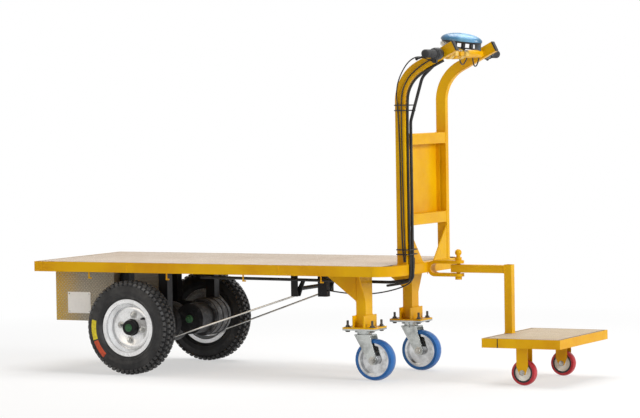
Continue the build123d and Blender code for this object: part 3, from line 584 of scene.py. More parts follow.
def fastener_tree():
    """One small piece on each vertex, all turned alike, each spun by chance about its own axis."""
    tree, entry, leave = tree_with(
        "fasteners", ("Piece", "NodeSocketObject", None), ("Turn", "NodeSocketVector", None),
        ("Seed", "NodeSocketInt", 1), ("Material", "NodeSocketMaterial", None))
    pattern = node_in(tree, "GeometryNodeObjectInfo")
    chance = node_in(tree, "FunctionNodeRandomValue", {2: 0.0, 3: 2 * pi}, data_type="FLOAT")
    spin = node_in(tree, "FunctionNodeAxisAngleToRotation", {"Axis": (0.0, 0.0, 1.0)})
    turn = node_in(tree, "FunctionNodeEulerToRotation")
    whole = node_in(tree, "FunctionNodeRotateRotation", rotation_space="LOCAL")
    copies = node_in(tree, "GeometryNodeInstanceOnPoints")
    wire(tree,
         (entry.outputs["Piece"], pattern.inputs["Object"]), (entry.outputs["Seed"], chance.inputs["Seed"]),
         (chance.outputs[1], spin.inputs["Angle"]), (entry.outputs["Turn"], turn.inputs["Euler"]),
         (turn.outputs[0], whole.inputs["Rotation"]), (spin.outputs[0], whole.inputs["Rotate By"]),
         (entry.outputs["Geometry"], copies.inputs["Points"]),
         (pattern.outputs["Geometry"], copies.inputs["Instance"]),
         (whole.outputs[0], copies.inputs["Rotation"]))
    finish_tree(tree, entry, leave, copies.outputs[0])
    return tree


fasteners = fastener_tree()
UP = (0.0, 0.0, 0.0)
DOWN = (pi, 0.0, 0.0)


def outward(hand):
    """The turn that lays a stack along +Y or -Y."""
    return (-hand * pi / 2, 0.0, 0.0)


def copies_of(stack, name, places, turn, material, seed=1):
    """Copies of a small stack on a list of places, as one new piece."""
    pattern = shown("pattern", stack)
    seeds = bpy.data.meshes.new(name)
    seeds.from_pydata(places, [], [])
    piece = grown(name, seeds, fasteners, sharp_angle=radians(30), piece=pattern, turn=turn, seed=seed,
                  material=material)
    bpy.data.objects.remove(pattern)
    return piece


def round_places(centre, along, radius, angles):
    """Places on a circle about an axis along Y, at angles in degrees."""
    turns = [radians(angle) for angle in angles]
    return [(centre[0] + radius * cos(turn), along, centre[2] + radius * sin(turn)) for turn in turns]


def fitted(piece, body):
    """A finished piece rides on its body."""
    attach(piece, body)


silver_lacquer = lacquer("silver_lacquer", SILVER, 0.26, 0.55, 0.82)
plated_steel = lacquer("plated_steel", (0.50, 0.49, 0.46), 0.28, 0.85, 0.5)
bright_zinc = lacquer("bright_zinc", (0.66, 0.66, 0.64), 0.2, 0.75, 0.5)
black_enamel = enamel("black_enamel", (0.018, 0.018, 0.02), (0.010, 0.010, 0.011), 0.36)
hub_green = enamel("hub_green", (0.10, 0.26, 0.13), (0.04, 0.11, 0.05), 0.4)
dress(silver_lacquer, "rim_left", "rim_right")

DISH = [(0.0838, -0.0010), (0.0838, 0.0020), (0.0795, 0.0052), (0.0735, 0.0058), (0.0690, 0.0044),
        (0.0650, 0.0016), (0.0335, 0.0016), (0.0335, -0.0010)]
NUT_SEAT = 0.0016
HUB_CAP = [(0.0330, 0.0), (0.0330, 0.0040), (0.0305, 0.0060), (0.0305, 0.0170), (0.0285, 0.0245),
           (0.0005, 0.0262), (0.0005, 0.0)]
HUB_NUT_SEAT = 0.0255
VALVE = [(0.0055, -0.001), (0.0050, 0.012), (0.0032, 0.014), (0.0032, 0.026), (0.0024, 0.027)]

for name, side in SIDES:
    body = "drive_wheel_" + name
    axle = centre_of("rim_" + name)
    face = side * (DISC_FACE + NUT_SEAT)
    dish = turned("pressed_dish_" + name, on_side(DISH, side), (axle.x, side * DISC_FACE, axle.z),
                  silver_lacquer, steps=72)
    fitted(dish, body)
    nuts = copies_of(hex_nut("wheel_nut", 0.0098, 0.012, 0.006), "wheel_nuts_" + name,
                     round_places(axle, face, NUT_CIRCLE, NUT_ANGLES), outward(side), bright_zinc)
    fitted(nuts, body)
    valve = copies_of(layered("valve", [(14, VALVE)]), "valve_" + name,
                      round_places(axle, face, VALVE_CIRCLE, [VALVE_ANGLE]), outward(side), tyre_rubber)
    fitted(valve, body)
    cap = turned("hub_cap_" + name, on_side(HUB_CAP, side), (axle.x, face, axle.z), black_enamel, steps=40)
    fitted(cap, body)
    hub_nut = copies_of(hex_nut("hub_nut", 0.013, 0.0085, 0.004, 1.2), "hub_nut_" + name,
                        [(axle.x, face + side * HUB_NUT_SEAT, axle.z)], outward(side), hub_green)
    fitted(hub_nut, body)

# Axle, motor and brakes
# A cast differential and motor on the axle tube, painted black over rough castings. The drums are
# bare finned alloy, with dull plated backing plates; the pull rods are bright drawn wire.


def casting(name, colour, pale, roughness=0.5):
    """Sand-cast metal under thin paint, rubbed pale in patches."""
    cast = Finish(name, colour, roughness, 0.35)
    where = cast.place()
    rubbed = cast.ramp(cast.noise(where, 34.0, 9.0, 0.75), [(0.50, 0.0), (0.70, 1.0)])
    cast.colour_from(cast.mix(rubbed, colour, pale))
    cast.drifting_roughness(where, 70.0, 5.0, roughness * 0.7, roughness * 1.3)
    cast.relief(cast.noise(where, 240.0, 6.0, 0.7), 0.0009, 0.45, 0.0012)
    return cast.material


black_casting = casting("black_casting", (0.015, 0.015, 0.017), (0.07, 0.07, 0.075))
motor_casting = casting("motor_casting", (0.05, 0.05, 0.054), (0.42, 0.43, 0.44))
alloy = casting("alloy", (0.50, 0.51, 0.52), (0.80, 0.81, 0.82), 0.30)
bright_rod = lacquer("bright_rod", (0.62, 0.61, 0.58), 0.22, 0.9)
dress(black_enamel, "axle_stands", "brake_crank", "cable_stop")
dress(black_casting, "drive_axle", "battery_pack")
dress(motor_casting, "drive_motor")
dress(alloy, "drum_left", "drum_right")
dress(plated_steel, "brake_plates")
dress(bright_rod, "brake_rods")

CASE_BOLTS = (-0.680, -0.066, 0.1875)
BOLT_RING = 0.055
PLUG_PLACE = (-0.562, -0.054, 0.2035)
PLUG = [(24, [(0.016, 0.0), (0.016, 0.006), (0.013, 0.009)]),
        (6, [(0.0095, 0.009), (0.0095, 0.018), (0.008, 0.020)])]
BAND_HALF = 0.004
BAND_REACHES = (0.012, 0.055, 0.098)

case_bolts = copies_of(hex_nut("case_bolt", 0.0058, 0.005), "case_bolts",
                       round_places(CASE_BOLTS, CASE_BOLTS[1], BOLT_RING, range(20, 380, 45)), outward(-1),
                       plated_steel, 17)
fitted(case_bolts, "cart")
plug = copies_of(layered("plug", PLUG), "case_plug", [PLUG_PLACE], outward(-1), hub_green)
fitted(plug, "cart")
motor_low, motor_high = (Vector(v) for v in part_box("drive_motor"))
motor_axis = (motor_low + motor_high) / 2
motor_radius = (motor_high.z - motor_low.z) / 2
through_bolts = round_places(motor_axis, motor_high.y, motor_radius * 0.74, (45, 135, 225, 315))
motor_bolts = copies_of(hex_nut("motor_bolt", 0.0055, 0.006), "motor_bolts", through_bolts, outward(1),
                        plated_steel)
fitted(motor_bolts, "cart")
inner, outer = motor_radius - 0.001, motor_radius + 0.0022
band_profile = [(inner, -BAND_HALF), (outer, -BAND_HALF), (outer, BAND_HALF), (inner, BAND_HALF)]
bands = []
for along in BAND_REACHES:
    band_centre = (motor_axis.x, motor_low.y + along, motor_axis.z)
    bands.append(turned("band", band_profile, band_centre, black_casting, steps=56))
fitted(joined("motor_bands", bands), "cart")

# Casters
# Bright zinc-plated pressings with blue polyurethane on cast cores. Four bolts clamp each plate
# to its yellow mount, with the heads below and a long end of thread above the nuts.
CASTER_X, CASTER_Y = 0.299, 0.207
BOLT_SPAN = (0.0525, 0.040)
MOUNT_TOP = 0.206
PLATE_UNDER = 0.194
CHEEK_FACE = 0.032

zinc_plate = lacquer("zinc_plate", (0.50, 0.52, 0.505), 0.20, 0.92, 0.52)
core_metal = lacquer("core_metal", (0.66, 0.67, 0.68), 0.12, 0.95, 0.55)
dark_bolt = lacquer("dark_bolt", (0.10, 0.095, 0.085), 0.4, 0.7, 0.5)
blue_tread = rubber("blue_tread", (0.020, 0.135, 0.43), (0.035, 0.18, 0.49), 0.30)
dress(zinc_plate, "caster_plates", "caster_fork_left", "caster_fork_right")
dress(core_metal, "caster_core_left", "caster_core_right")
dress(blue_tread, "caster_tread_left", "caster_tread_right")

nut_places = []
head_places = []
for name, side in SIDES:
    holes = [(CASTER_X + sx * BOLT_SPAN[0], side * CASTER_Y + sy * BOLT_SPAN[1])
             for sx in (-1, 1) for sy in (-1, 1)]
    nut_places += [(px, py, MOUNT_TOP) for px, py in holes]
    head_places += [(px, py, PLATE_UNDER) for px, py in holes]
    wheel = centre_of("caster_core_" + name)
    for hand, end in ((-1, "inner"), (1, "outer")):
        nut = copies_of(hex_nut("axle_nut", 0.0112, 0.0088, 0.004, 1.3), "caster_nut_" + name + "_" + end,
                        [(wheel.x, wheel.y + hand * CHEEK_FACE, wheel.z)], outward(hand), plated_steel)
        fitted(nut, "caster_" + name)
plate_nuts = copies_of(hex_nut("plate_nut", 0.0085, 0.008, 0.018), "plate_nuts", nut_places, UP, dark_bolt, 3)
fitted(plate_nuts, "cart")
plate_heads = copies_of(hex_nut("plate_head", 0.0085, 0.0065), "plate_heads", head_places, DOWN, dark_bolt, 5)
fitted(plate_heads, "cart")

# Weld seams
# Hand-laid beads where the frame's members meet, sprayed over with the frame. Each is a run of
# overlapping drops, a little uneven; the edge's joints show as short upright runs. A black run at the
# step edge's joint is painted shade in its gap.
BEAD_STEP = 0.0026
BEAD_RADIUS = 0.0021
UPRIGHT_X = (0.437, 0.477)
UPRIGHT_Y = (0.172, 0.197)
RAILS = ((0.592, 0.634), (0.900, 0.942))
RAIL_RUN = 0.010
BRACE_X = 0.4775
BRACE_SPAN = (0.447, 0.583)
BRACE_FOOT, BRACE_REACH = 0.4465, 0.125
EDGE_JOINTS = (-0.690, -0.008)
EDGE_SPAN = (0.408, 0.443)
HALF_WIDTH = 0.330
LEG_X = (0.279, 0.319)
LEG_HALF = 0.030
LEG_FOOT = 0.252
LEG_SPAN = (0.305, 0.405)
CLEVIS_X, CLEVIS_HALF = 0.482, 0.022
CLEVIS_SPAN = (0.400, 0.444)
POST_FOOT = 0.178
DRAWBAR_HALF = 0.015
DRAWBAR_SPAN = (0.406, 0.436)
STEP_JOINT_X = 0.867


def path_mesh(name, runs):
    """Polylines as one mesh of edges, the seed of a seam."""
    verts, edges = [], []
    for run in runs:
        start = len(verts)
        verts += run
        edges += [(start + k, start + k + 1) for k in range(len(run) - 1)]
    mesh = bpy.data.meshes.new(name)
    mesh.from_pydata(verts, edges, [])
    return mesh


def seam_tree():
    """Drops along every run of the seed: step, radius, and chance in each drop's size."""
    tree, entry, leave = tree_with(
        "weld_seam", ("Step", "NodeSocketFloat", BEAD_STEP), ("Radius", "NodeSocketFloat", BEAD_RADIUS),
        ("Seed", "NodeSocketInt", 1), ("Material", "NodeSocketMaterial", None))
    line = node_in(tree, "GeometryNodeMeshToCurve")
    spaced = node_in(tree, "GeometryNodeResampleCurve", mode="LENGTH")
    drop = node_in(tree, "GeometryNodeMeshUVSphere", {"Segments": 8, "Rings": 5})
    chance = node_in(tree, "FunctionNodeRandomValue", {2: 0.80, 3: 1.15}, data_type="FLOAT")
    copies = node_in(tree, "GeometryNodeInstanceOnPoints")
    wire(tree,
         (entry.outputs["Geometry"], line.inputs[0]), (line.outputs[0], spaced.inputs["Curve"]),
         (entry.outputs["Step"], spaced.inputs["Length"]), (entry.outputs["Radius"], drop.inputs["Radius"]),
         (entry.outputs["Seed"], chance.inputs["Seed"]), (spaced.outputs[0], copies.inputs["Points"]),
         (drop.outputs["Mesh"], copies.inputs["Instance"]), (chance.outputs[1], copies.inputs["Scale"]))
    finish_tree(tree, entry, leave, copies.outputs[0])
    return tree


weld_seam = seam_tree()


def seams(name, runs, body, seed, material=yellow_enamel):
    """Weld beads along a list of runs, as one finished piece."""
    piece = grown(name, path_mesh(name, runs), weld_seam, radians(60), seed=seed, material=material,
                  step=BEAD_STEP, radius=BEAD_RADIUS)
    fitted(piece, body)


def loop_round(low, high, level):
    """A closed rectangular run round a member at one height."""
    (x0, y0), (x1, y1) = low, high
    return [(x0, y0, level), (x1, y0, level), (x1, y1, level), (x0, y1, level), (x0, y0, level)]


def upright_run(x, y, span):
    """A run straight up at one place."""
    return [(x, y, z) for z in span]


DECK_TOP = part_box("edge_sides")[1][2]
frame_runs = []
for side in (1, -1):
    inner, outer = side * UPRIGHT_Y[0], side * UPRIGHT_Y[1]
    frame_runs.append(loop_round((UPRIGHT_X[0], min(inner, outer)), (UPRIGHT_X[1], max(inner, outer)),
                                 DECK_TOP + 0.001))
    for level in RAILS[0] + RAILS[1]:
        frame_runs += [[(x, inner, level), (x, inner - side * RAIL_RUN, level)] for x in UPRIGHT_X]
    for span in RAILS:
        frame_runs += [upright_run(x, inner, span) for x in UPRIGHT_X]
    frame_runs.append(upright_run(BRACE_X, inner, BRACE_SPAN))
    frame_runs.append([(BRACE_X, inner, BRACE_FOOT), (BRACE_X, inner - side * BRACE_REACH, BRACE_FOOT)])
    frame_runs += [upright_run(x, side * HALF_WIDTH, EDGE_SPAN) for x in EDGE_JOINTS]
    leg = side * CASTER_Y
    frame_runs += [[(x, leg - LEG_HALF, LEG_FOOT), (x, leg + LEG_HALF, LEG_FOOT)] for x in LEG_X]
    frame_runs.append(upright_run(LEG_X[0], side * (CASTER_Y + LEG_HALF), LEG_SPAN))
frame_runs += [upright_run(CLEVIS_X, y, CLEVIS_SPAN) for y in (-CLEVIS_HALF, CLEVIS_HALF)]
seams("frame_welds", frame_runs, "cart", 11)

post_low, post_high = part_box("step_post")
foot_run = loop_round((post_low[0], post_low[1]), (post_high[0], post_high[1]), POST_FOOT)
drawbar_run = (upright_run(post_low[0], -DRAWBAR_HALF, DRAWBAR_SPAN)
               + upright_run(post_low[0], DRAWBAR_HALF, reversed(DRAWBAR_SPAN)))
seams("step_welds", [foot_run, drawbar_run], "step", 12)
edge_low, edge_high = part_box("step_edge")
# Black beads stand for the dark gap at the step edge's joint: painted shade, not a weld.
gap_shade_run = upright_run(STEP_JOINT_X, edge_low[1], (edge_low[2] + 0.002, edge_high[2] - 0.002))
seams("step_joint", [gap_shade_run], "step", 14, black_enamel)

# Label plate
# The label that the photograph shows on the box is left blank: a white plate with rounded corners,
# held by four rivets.
PLATE_X = (-1.016, -0.909)
PLATE_Z = (0.233, 0.318)
PLATE_THICKNESS = 0.0012
PLATE_CORNER = 0.004
RIVET_INSET = 0.007
RIVET = [(0.0032, 0.0), (0.0030, 0.0009), (0.0020, 0.0017), (0.0006, 0.0020)]


def rounded_plate(name, x_range, z_range, face, thickness, radius, material):
    """A thin upright plate on a -Y face, with rounded corners."""
    work = bmesh.new()
    (x0, x1), (z0, z1) = x_range, z_range
    corners = ((x1 - radius, z1 - radius, 0), (x0 + radius, z1 - radius, 90), (x0 + radius, z0 + radius, 180),
               (x1 - radius, z0 + radius, 270))
    outline = [(cx + radius * cos(radians(a + 15 * k)), cz + radius * sin(radians(a + 15 * k)))
               for cx, cz, a in corners for k in range(7)]
    front_ring = [work.verts.new((x, face - thickness, z)) for x, z in outline]
    back_ring = [work.verts.new((x, face, z)) for x, z in outline]
    work.faces.new(front_ring)
    work.faces.new(list(reversed(back_ring)))
    for k in range(len(outline)):
        j = (k + 1) % len(outline)
        work.faces.new((front_ring[k], back_ring[k], back_ring[j], front_ring[j]))
    return from_bmesh(name, work, material)


plate_white = flash_paint("plate_white", (0.94, 0.94, 0.93), 0.96)
plate = rounded_plate("blank_plate", PLATE_X, PLATE_Z, BOX_FACE, PLATE_THICKNESS, PLATE_CORNER, plate_white)
fitted(plate, "cart")
rivet_x = (PLATE_X[0] + RIVET_INSET, PLATE_X[1] - RIVET_INSET)
rivet_z = (PLATE_Z[0] + RIVET_INSET, PLATE_Z[1] - RIVET_INSET)
rivet_places = [(x, BOX_FACE - PLATE_THICKNESS, z) for x in rivet_x for z in rivet_z]
rivets = copies_of(layered("rivet", [(14, RIVET)]), "plate_rivets", rivet_places, outward(-1), bright_zinc, 7)
fitted(rivets, "cart")

# Handlebar
# Stub bars in black enamel carry ribbed rubber grips, a throttle drum on the right, a switch pod on
# the left and round levers with ball ends. Moulded caps close the uprights' open ends.
BAR_X, BAR_Z = 0.6289, 1.2445
GRIP_START, GRIP_END = 0.251, 0.334
GRIP_RADIUS = 0.0158
RIB_PITCH = 0.0052
SLOPE_ANGLE = radians(27)
SLOPE = (cos(SLOPE_ANGLE), sin(SLOPE_ANGLE))
TIP = (0.6841, 1.2727)
LEVER_CLAMP = [(0.0112, 0.1975), (0.0172, 0.1975), (0.0172, 0.2115), (0.0112, 0.2115)]
LEVER_PATH = [(-0.034, 0.203, -0.004), (-0.036, 0.232, -0.005), (-0.038, 0.270, -0.011),
              (-0.037, 0.325, -0.019)]
LEVER_RADIUS = 0.0042
LEVER_BALL = [(0.0004, -0.0065), (0.0046, -0.0046), (0.0065, 0.0), (0.0046, 0.0046), (0.0004, 0.0065)]
DRUM = [(0.0112, 0.2125), (0.0215, 0.2125), (0.0230, 0.2150), (0.0230, 0.2400), (0.0200, 0.2440),
        (0.0112, 0.2440)]
POD_SHARE = 0.86
KEY = [(0.0125, 0.012), (0.0125, 0.034), (0.0138, 0.036), (0.0138, 0.043), (0.0110, 0.046), (0.0004, 0.046),
       (0.0004, 0.012)]


def box_at(name, centre, size, material, turn=0.0, bevel=0.0012):
    """A small bevelled block, turned about Y by turn."""
    work = bmesh.new()
    bmesh.ops.create_cube(work, size=1.0)
    bmesh.ops.scale(work, vec=size, verts=work.verts)
    bmesh.ops.bevel(work, geom=work.edges[:], offset=bevel, segments=2, affect="EDGES")
    bmesh.ops.rotate(work, cent=(0, 0, 0), matrix=Matrix.Rotation(turn, 3, "Y"), verts=work.verts)
    bmesh.ops.translate(work, vec=centre, verts=work.verts)
    return from_bmesh(name, work, material)


def tube(name, points, radius, material):
    """A smooth round line through a list of places, as a closed mesh tube."""
    line = bpy.data.curves.new(name, "CURVE")
    line.dimensions = "3D"
    spline = line.splines.new("NURBS")
    spline.points.add(len(points) - 1)
    for point, place in zip(spline.points, points):
        point.co = (*place, 1.0)
    spline.order_u = 3
    spline.use_endpoint_u = True
    line.resolution_u = 8
    line.bevel_depth = radius
    line.bevel_resolution = 3
    line.use_fill_caps = True
    drawn = shown(name, line)
    mesh = bpy.data.meshes.new_from_object(drawn.evaluated_get(bpy.context.evaluated_depsgraph_get()))
    bpy.data.objects.remove(drawn)
    mesh.materials.clear()
    mesh.materials.append(material)
    smooth(mesh)
    return shown(name, mesh)


grip_rubber = rubber("grip_rubber", (0.020, 0.020, 0.022), (0.07, 0.07, 0.07), 0.6)
moulded_black = rubber("moulded_black", (0.022, 0.022, 0.024), (0.07, 0.07, 0.072), 0.42, 500.0)
moulded_grey = rubber("moulded_grey", (0.055, 0.075, 0.095), (0.12, 0.15, 0.18), 0.4, 500.0)
dress(black_enamel, "handlebar")
bar = (BAR_X, 0.0, BAR_Z)
grip_parts = []
lever_parts = []
cap_parts = []
for side in (1, -1):
    ribs = [(0.0113, GRIP_START), (0.0205, GRIP_START), (0.0205, GRIP_START + 0.004),
            (GRIP_RADIUS, GRIP_START + 0.006)]
    along = GRIP_START + 0.010
    while along < GRIP_END - 0.010:
        ribs += [(GRIP_RADIUS - 0.0012, along), (GRIP_RADIUS, along + 0.0012), (GRIP_RADIUS, along + 0.0034)]
        along += RIB_PITCH
    ribs += [(GRIP_RADIUS, GRIP_END - 0.004), (GRIP_RADIUS - 0.004, GRIP_END), (0.0004, GRIP_END),
             (0.0004, 0.3302), (0.0113, 0.3300)]
    grip_parts.append(turned("grip", on_side(ribs, side), bar, grip_rubber, steps=40))
    lever_parts.append(turned("clamp", on_side(LEVER_CLAMP, side), bar, black_enamel, steps=36))
    arm_centre = (BAR_X - 0.0225, side * 0.2045, BAR_Z - 0.004)
    lever_parts.append(box_at("perch", arm_centre, (0.026, 0.0135, 0.014), black_enamel))
    path = [(BAR_X + x, side * y, BAR_Z + z) for x, y, z in LEVER_PATH]
    lever_parts.append(tube("lever", path, LEVER_RADIUS, black_enamel))
    ball_centre = (BAR_X - 0.037, side * 0.3255, BAR_Z - 0.019)
    lever_parts.append(turned("ball", on_side(LEVER_BALL, side), ball_centre, black_enamel, steps=20))
    cap_centre = (TIP[0] + 0.002 * SLOPE[0], side * 0.1845, TIP[1] + 0.002 * SLOPE[1])
    cap_parts.append(box_at("cap", cap_centre, (0.0055, 0.0262, 0.0412), moulded_black, -SLOPE_ANGLE, 0.0018))
grips_piece = joined("ribbed_grips", grip_parts, 50)
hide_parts("grips")
fitted(grips_piece, "cart")
levers_piece = joined("round_levers", lever_parts, 45)
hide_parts("brake_levers")
fitted(levers_piece, "cart")
fitted(joined("upright_caps", cap_parts), "cart")

outlet_centre = (BAR_X - 0.008, -0.228, BAR_Z - 0.026)
throttle_parts = [turned("throttle", on_side(DRUM, -1), bar, moulded_black, steps=40),
                  box_at("outlet", outlet_centre, (0.018, 0.020, 0.018), moulded_black, 0.0, 0.003)]
fitted(joined("throttle_drum", throttle_parts, 40), "cart")
pod_profile = [(r * POD_SHARE, a) for r, a in DRUM[1:-1]] + [DRUM[-1], DRUM[0]]
pod_parts = [turned("pod", pod_profile, bar, moulded_grey, steps=36),
             box_at("button", (BAR_X + 0.024, 0.228, BAR_Z), (0.016, 0.016, 0.016), moulded_grey, 0.0, 0.004)]
fitted(joined("switch_pod", pod_parts, 40), "cart")
key_piece = turned("key_switch", KEY, (BAR_X, 0.152, BAR_Z), moulded_grey, axis="Z", steps=32)
fitted(key_piece, "cart")

# Clamps on the crossbar
# Three split clamp blocks, the middle one in the frame's yellow enamel and its neighbours in a
# paler yellow, each drawn up by two small cap screws.
clamp_pale = enamel("clamp_pale", (0.82, 0.60, 0.20), (0.74, 0.48, 0.08), 0.3)
CLAMPS = ((-0.118, 0.030, clamp_pale), (-0.070, 0.034, yellow_enamel), (-0.020, 0.030, clamp_pale))
CAP_SCREW = [(0.0042, 0.0), (0.0042, 0.0036), (0.0036, 0.0042)]
clamp_parts = []
screw_places = []
for centre, width, coat in CLAMPS:
    half = width / 2
    shell = [(0.0152, centre - half), (0.0198, centre - half), (0.0210, centre - half + 0.002),
             (0.0210, centre + half - 0.002), (0.0198, centre + half), (0.0152, centre + half)]
    clamp_parts.append(turned("clamp_ring", shell, bar, coat, steps=36))
    ear_centre = (BAR_X + 0.024, centre, BAR_Z)
    clamp_parts.append(box_at("clamp_ear", ear_centre, (0.022, width * 0.92, 0.017), coat))
    screw_places += [(BAR_X + 0.0255, centre + hand * width * 0.24, BAR_Z + 0.0085) for hand in (-1, 1)]
fitted(joined("bar_clamps", clamp_parts, 40), "cart")
cap_screw = layered("cap_screw", [(14, CAP_SCREW)])
fitted(copies_of(cap_screw, "clamp_screws", screw_places, UP, plated_steel, 9), "cart")

# Lamp
# A low blue moulded dome over a dark tray on three struts, with a clear-white lens at its front.
# A moulded stay holds it above the middle of the bar.
LAMP_HALF, LAMP_WIDE, LAMP_RISE = 0.0845, 0.053, 0.027
LAMP_LIFT = 0.053
LAMP_TILT = radians(7)
DOME_STEPS = 56
DOME_RINGS, DOME_CLIMB = 12, 7.9
SKIRT = 0.004
STRUT_PLACES = (-0.025, 0.009, 0.043)
TRAY = [(0.0004, -0.0040), (0.97, -0.0040), (0.93, -0.0110), (0.0004, -0.0110)]


def dome(name, material):
    """Half of an ellipsoid with a short skirt, closed below."""
    work = bmesh.new()
    turns = [2 * pi * k / DOME_STEPS for k in range(DOME_STEPS)]
    climbs = [radians(DOME_CLIMB * k) for k in range(DOME_RINGS)]
    rings = []
    for angle, level in [(0.0, -SKIRT)] + [(angle, LAMP_RISE * sin(angle)) for angle in climbs]:
        half_long, half_wide = LAMP_HALF * cos(angle), LAMP_WIDE * cos(angle)
        rings.append([work.verts.new((half_long * cos(a), half_wide * sin(a), level)) for a in turns])
    skin_over(work, rings)
    work.faces.new(list(reversed(rings[0])))
    work.faces.new(rings[-1])
    return from_bmesh(name, work, material)


def lamp_plastic():
    """Blue moulding with painted light: painted shade at its two ends, a painted highlight towards the rear,
    and dust.
    """
    shell = Finish("lamp_plastic", (0.05, 0.21, 0.42), 0.22)
    along = along_cart(shell, BAR_X - LAMP_HALF, BAR_X + LAMP_HALF)
    # Painted light along the dome: the dark ends are painted shade, the pale band towards the rear a painted
    # highlight.
    tone = shell.ramp(along, [(0.0, (0.012, 0.045, 0.10)), (1.0, (0.025, 0.085, 0.15)),
                              (0.20, (0.035, 0.165, 0.33)), (0.52, (0.05, 0.22, 0.42)),
                              (0.62, (0.16, 0.40, 0.62)), (0.88, (0.12, 0.33, 0.55))])
    dust = shell.ramp(shell.noise(shell.place(), 60.0, 7.0), [(0.5, 0.0), (0.75, 0.18)])
    shell.colour_from(shell.mix(dust, tone, (0.45, 0.52, 0.58)))
    shell.relief(shell.noise(shell.place(), 150.0), 0.0003, 0.2)
    return shell.material


def tilted(piece):
    """A lamp part at its place over the bar."""
    place = Matrix.Translation((BAR_X, 0.0, BAR_Z + LAMP_LIFT)) @ Matrix.Rotation(LAMP_TILT, 4, "Y")
    piece.data.transform(place)
    return piece


lens_white = rubber("lens_white", (0.80, 0.82, 0.83), (0.62, 0.64, 0.66), 0.18, 120.0)
shell_piece = tilted(dome("lamp_dome", lamp_plastic()))
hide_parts("lamp_shell")
fitted(shell_piece, "cart")
tray_profile = [(r * LAMP_WIDE, a) for r, a in TRAY]
tray_piece = turned("tray", tray_profile, (0.0, 0.0, 0.0), moulded_black, axis="Z", steps=DOME_STEPS)
tray_piece.data.transform(Matrix.Diagonal((LAMP_HALF / LAMP_WIDE, 1.0, 1.0, 1.0)))
body_parts = [tray_piece]
for x in STRUT_PLACES:
    body_parts.append(box_at("strut", (x, 0.0, -0.0195), (0.009, 0.022, 0.021), moulded_black))
body_parts.append(box_at("foot", (0.010, 0.0, -0.0300), (0.112, 0.052, 0.004), moulded_black))
body_parts = [tilted(piece) for piece in body_parts]
stay_centre = (BAR_X + 0.002, 0.0, BAR_Z + 0.0165)
body_parts.append(box_at("lamp_stay", stay_centre, (0.012, 0.034, 0.016), moulded_black))
body_piece = joined("lamp_tray", body_parts, 40)
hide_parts("lamp_body")
fitted(body_piece, "cart")
lens_piece = box_at("lamp_glass", (-0.066, 0.0, -0.0190), (0.024, 0.050, 0.022), lens_white, 0.0, 0.005)
tilted(lens_piece)
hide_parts("lamp_lens")
fitted(lens_piece, "cart")

# Wiring
# PVC-sheathed leads, all tied to the frame: the loom the solids carry, a second lead beside it that hugs
# the near slope, two thin leads down the near upright's face, loops below the bar and the brake's cable.
TIE_LEVELS = (1.050, 1.030, 0.500, 0.482)
TIE_X, TIE_Y = (0.4372, 0.4938), (-0.2024, -0.1380)
TIE_HEIGHT, TIE_WALL = 0.0042, 0.0011
TIE_HEAD = (0.0065, 0.0036, 0.0060)
cable_rubber = rubber("cable_rubber", (0.012, 0.012, 0.013), (0.045, 0.044, 0.042), 0.38, 400.0)
dress(cable_rubber, "harness")
LEADS = (
    ("second_lead", 0.0048, [(0.6300, -0.168, 1.2185), (0.6180, -0.180, 1.2105), (0.5770, -0.183, 1.1895),
                             (0.5503, -0.183, 1.1760), (0.5142, -0.183, 1.1483), (0.4904, -0.183, 1.1096),
                             (0.4822, -0.183, 1.0650), (0.4824, -0.183, 0.7000), (0.4835, -0.183, 0.5600),
                             (0.4862, -0.183, 0.4700), (0.4862, -0.183, 0.3950), (0.4700, -0.181, 0.3740),
                             (0.3800, -0.172, 0.3620)]),
    ("third_lead", 0.0024, [(0.5990, -0.2004, 1.2270), (0.5700, -0.1998, 1.2130), (0.5430, -0.1998, 1.1967),
                            (0.5000, -0.1998, 1.1630), (0.4725, -0.1998, 1.1170), (0.4640, -0.1998, 1.0650),
                            (0.4650, -0.1998, 0.9000), (0.4685, -0.1998, 0.6000), (0.4730, -0.1998, 0.4700),
                            (0.4735, -0.1998, 0.4550)]),
    ("throttle_lead", 0.0024, [(BAR_X - 0.008, -0.231, BAR_Z - 0.030), (0.596, -0.243, 1.225),
                               (0.560, -0.252, 1.238), (0.512, -0.243, 1.214), (0.466, -0.226, 1.150),
                               (0.447, -0.206, 1.095), (0.4500, -0.2000, 1.045), (0.4560, -0.1998, 0.900),
                               (0.4580, -0.1998, 0.640), (0.4610, -0.1998, 0.500), (0.468, -0.1998, 0.455)]),
    ("bar_loop_inner", 0.0024, [(BAR_X + 0.004, -0.030, BAR_Z - 0.0165),
                                (BAR_X + 0.002, -0.018, BAR_Z - 0.034), (BAR_X, 0.004, BAR_Z - 0.042),
                                (BAR_X + 0.002, 0.026, BAR_Z - 0.034),
                                (BAR_X + 0.004, 0.038, BAR_Z - 0.0165)]),
    ("bar_loop_outer", 0.0026, [(BAR_X + 0.004, 0.092, BAR_Z - 0.0165), (BAR_X + 0.002, 0.104, BAR_Z - 0.040),
                                (BAR_X, 0.124, BAR_Z - 0.050), (BAR_X + 0.002, 0.143, BAR_Z - 0.040),
                                (BAR_X + 0.004, 0.152, BAR_Z - 0.0165)]),
    ("brake_lead", 0.0026, [(0.101, -0.120, 0.335), (0.150, -0.121, 0.328), (0.240, -0.124, 0.322),
                            (0.330, -0.134, 0.330), (0.415, -0.145, 0.349), (0.470, -0.147, 0.372),
                            (0.4842, -0.145, 0.410), (0.4842, -0.145, 0.470)]),
)
for name, radius, route in LEADS:
    fitted(tube(name, route, radius, cable_rubber), "cart")


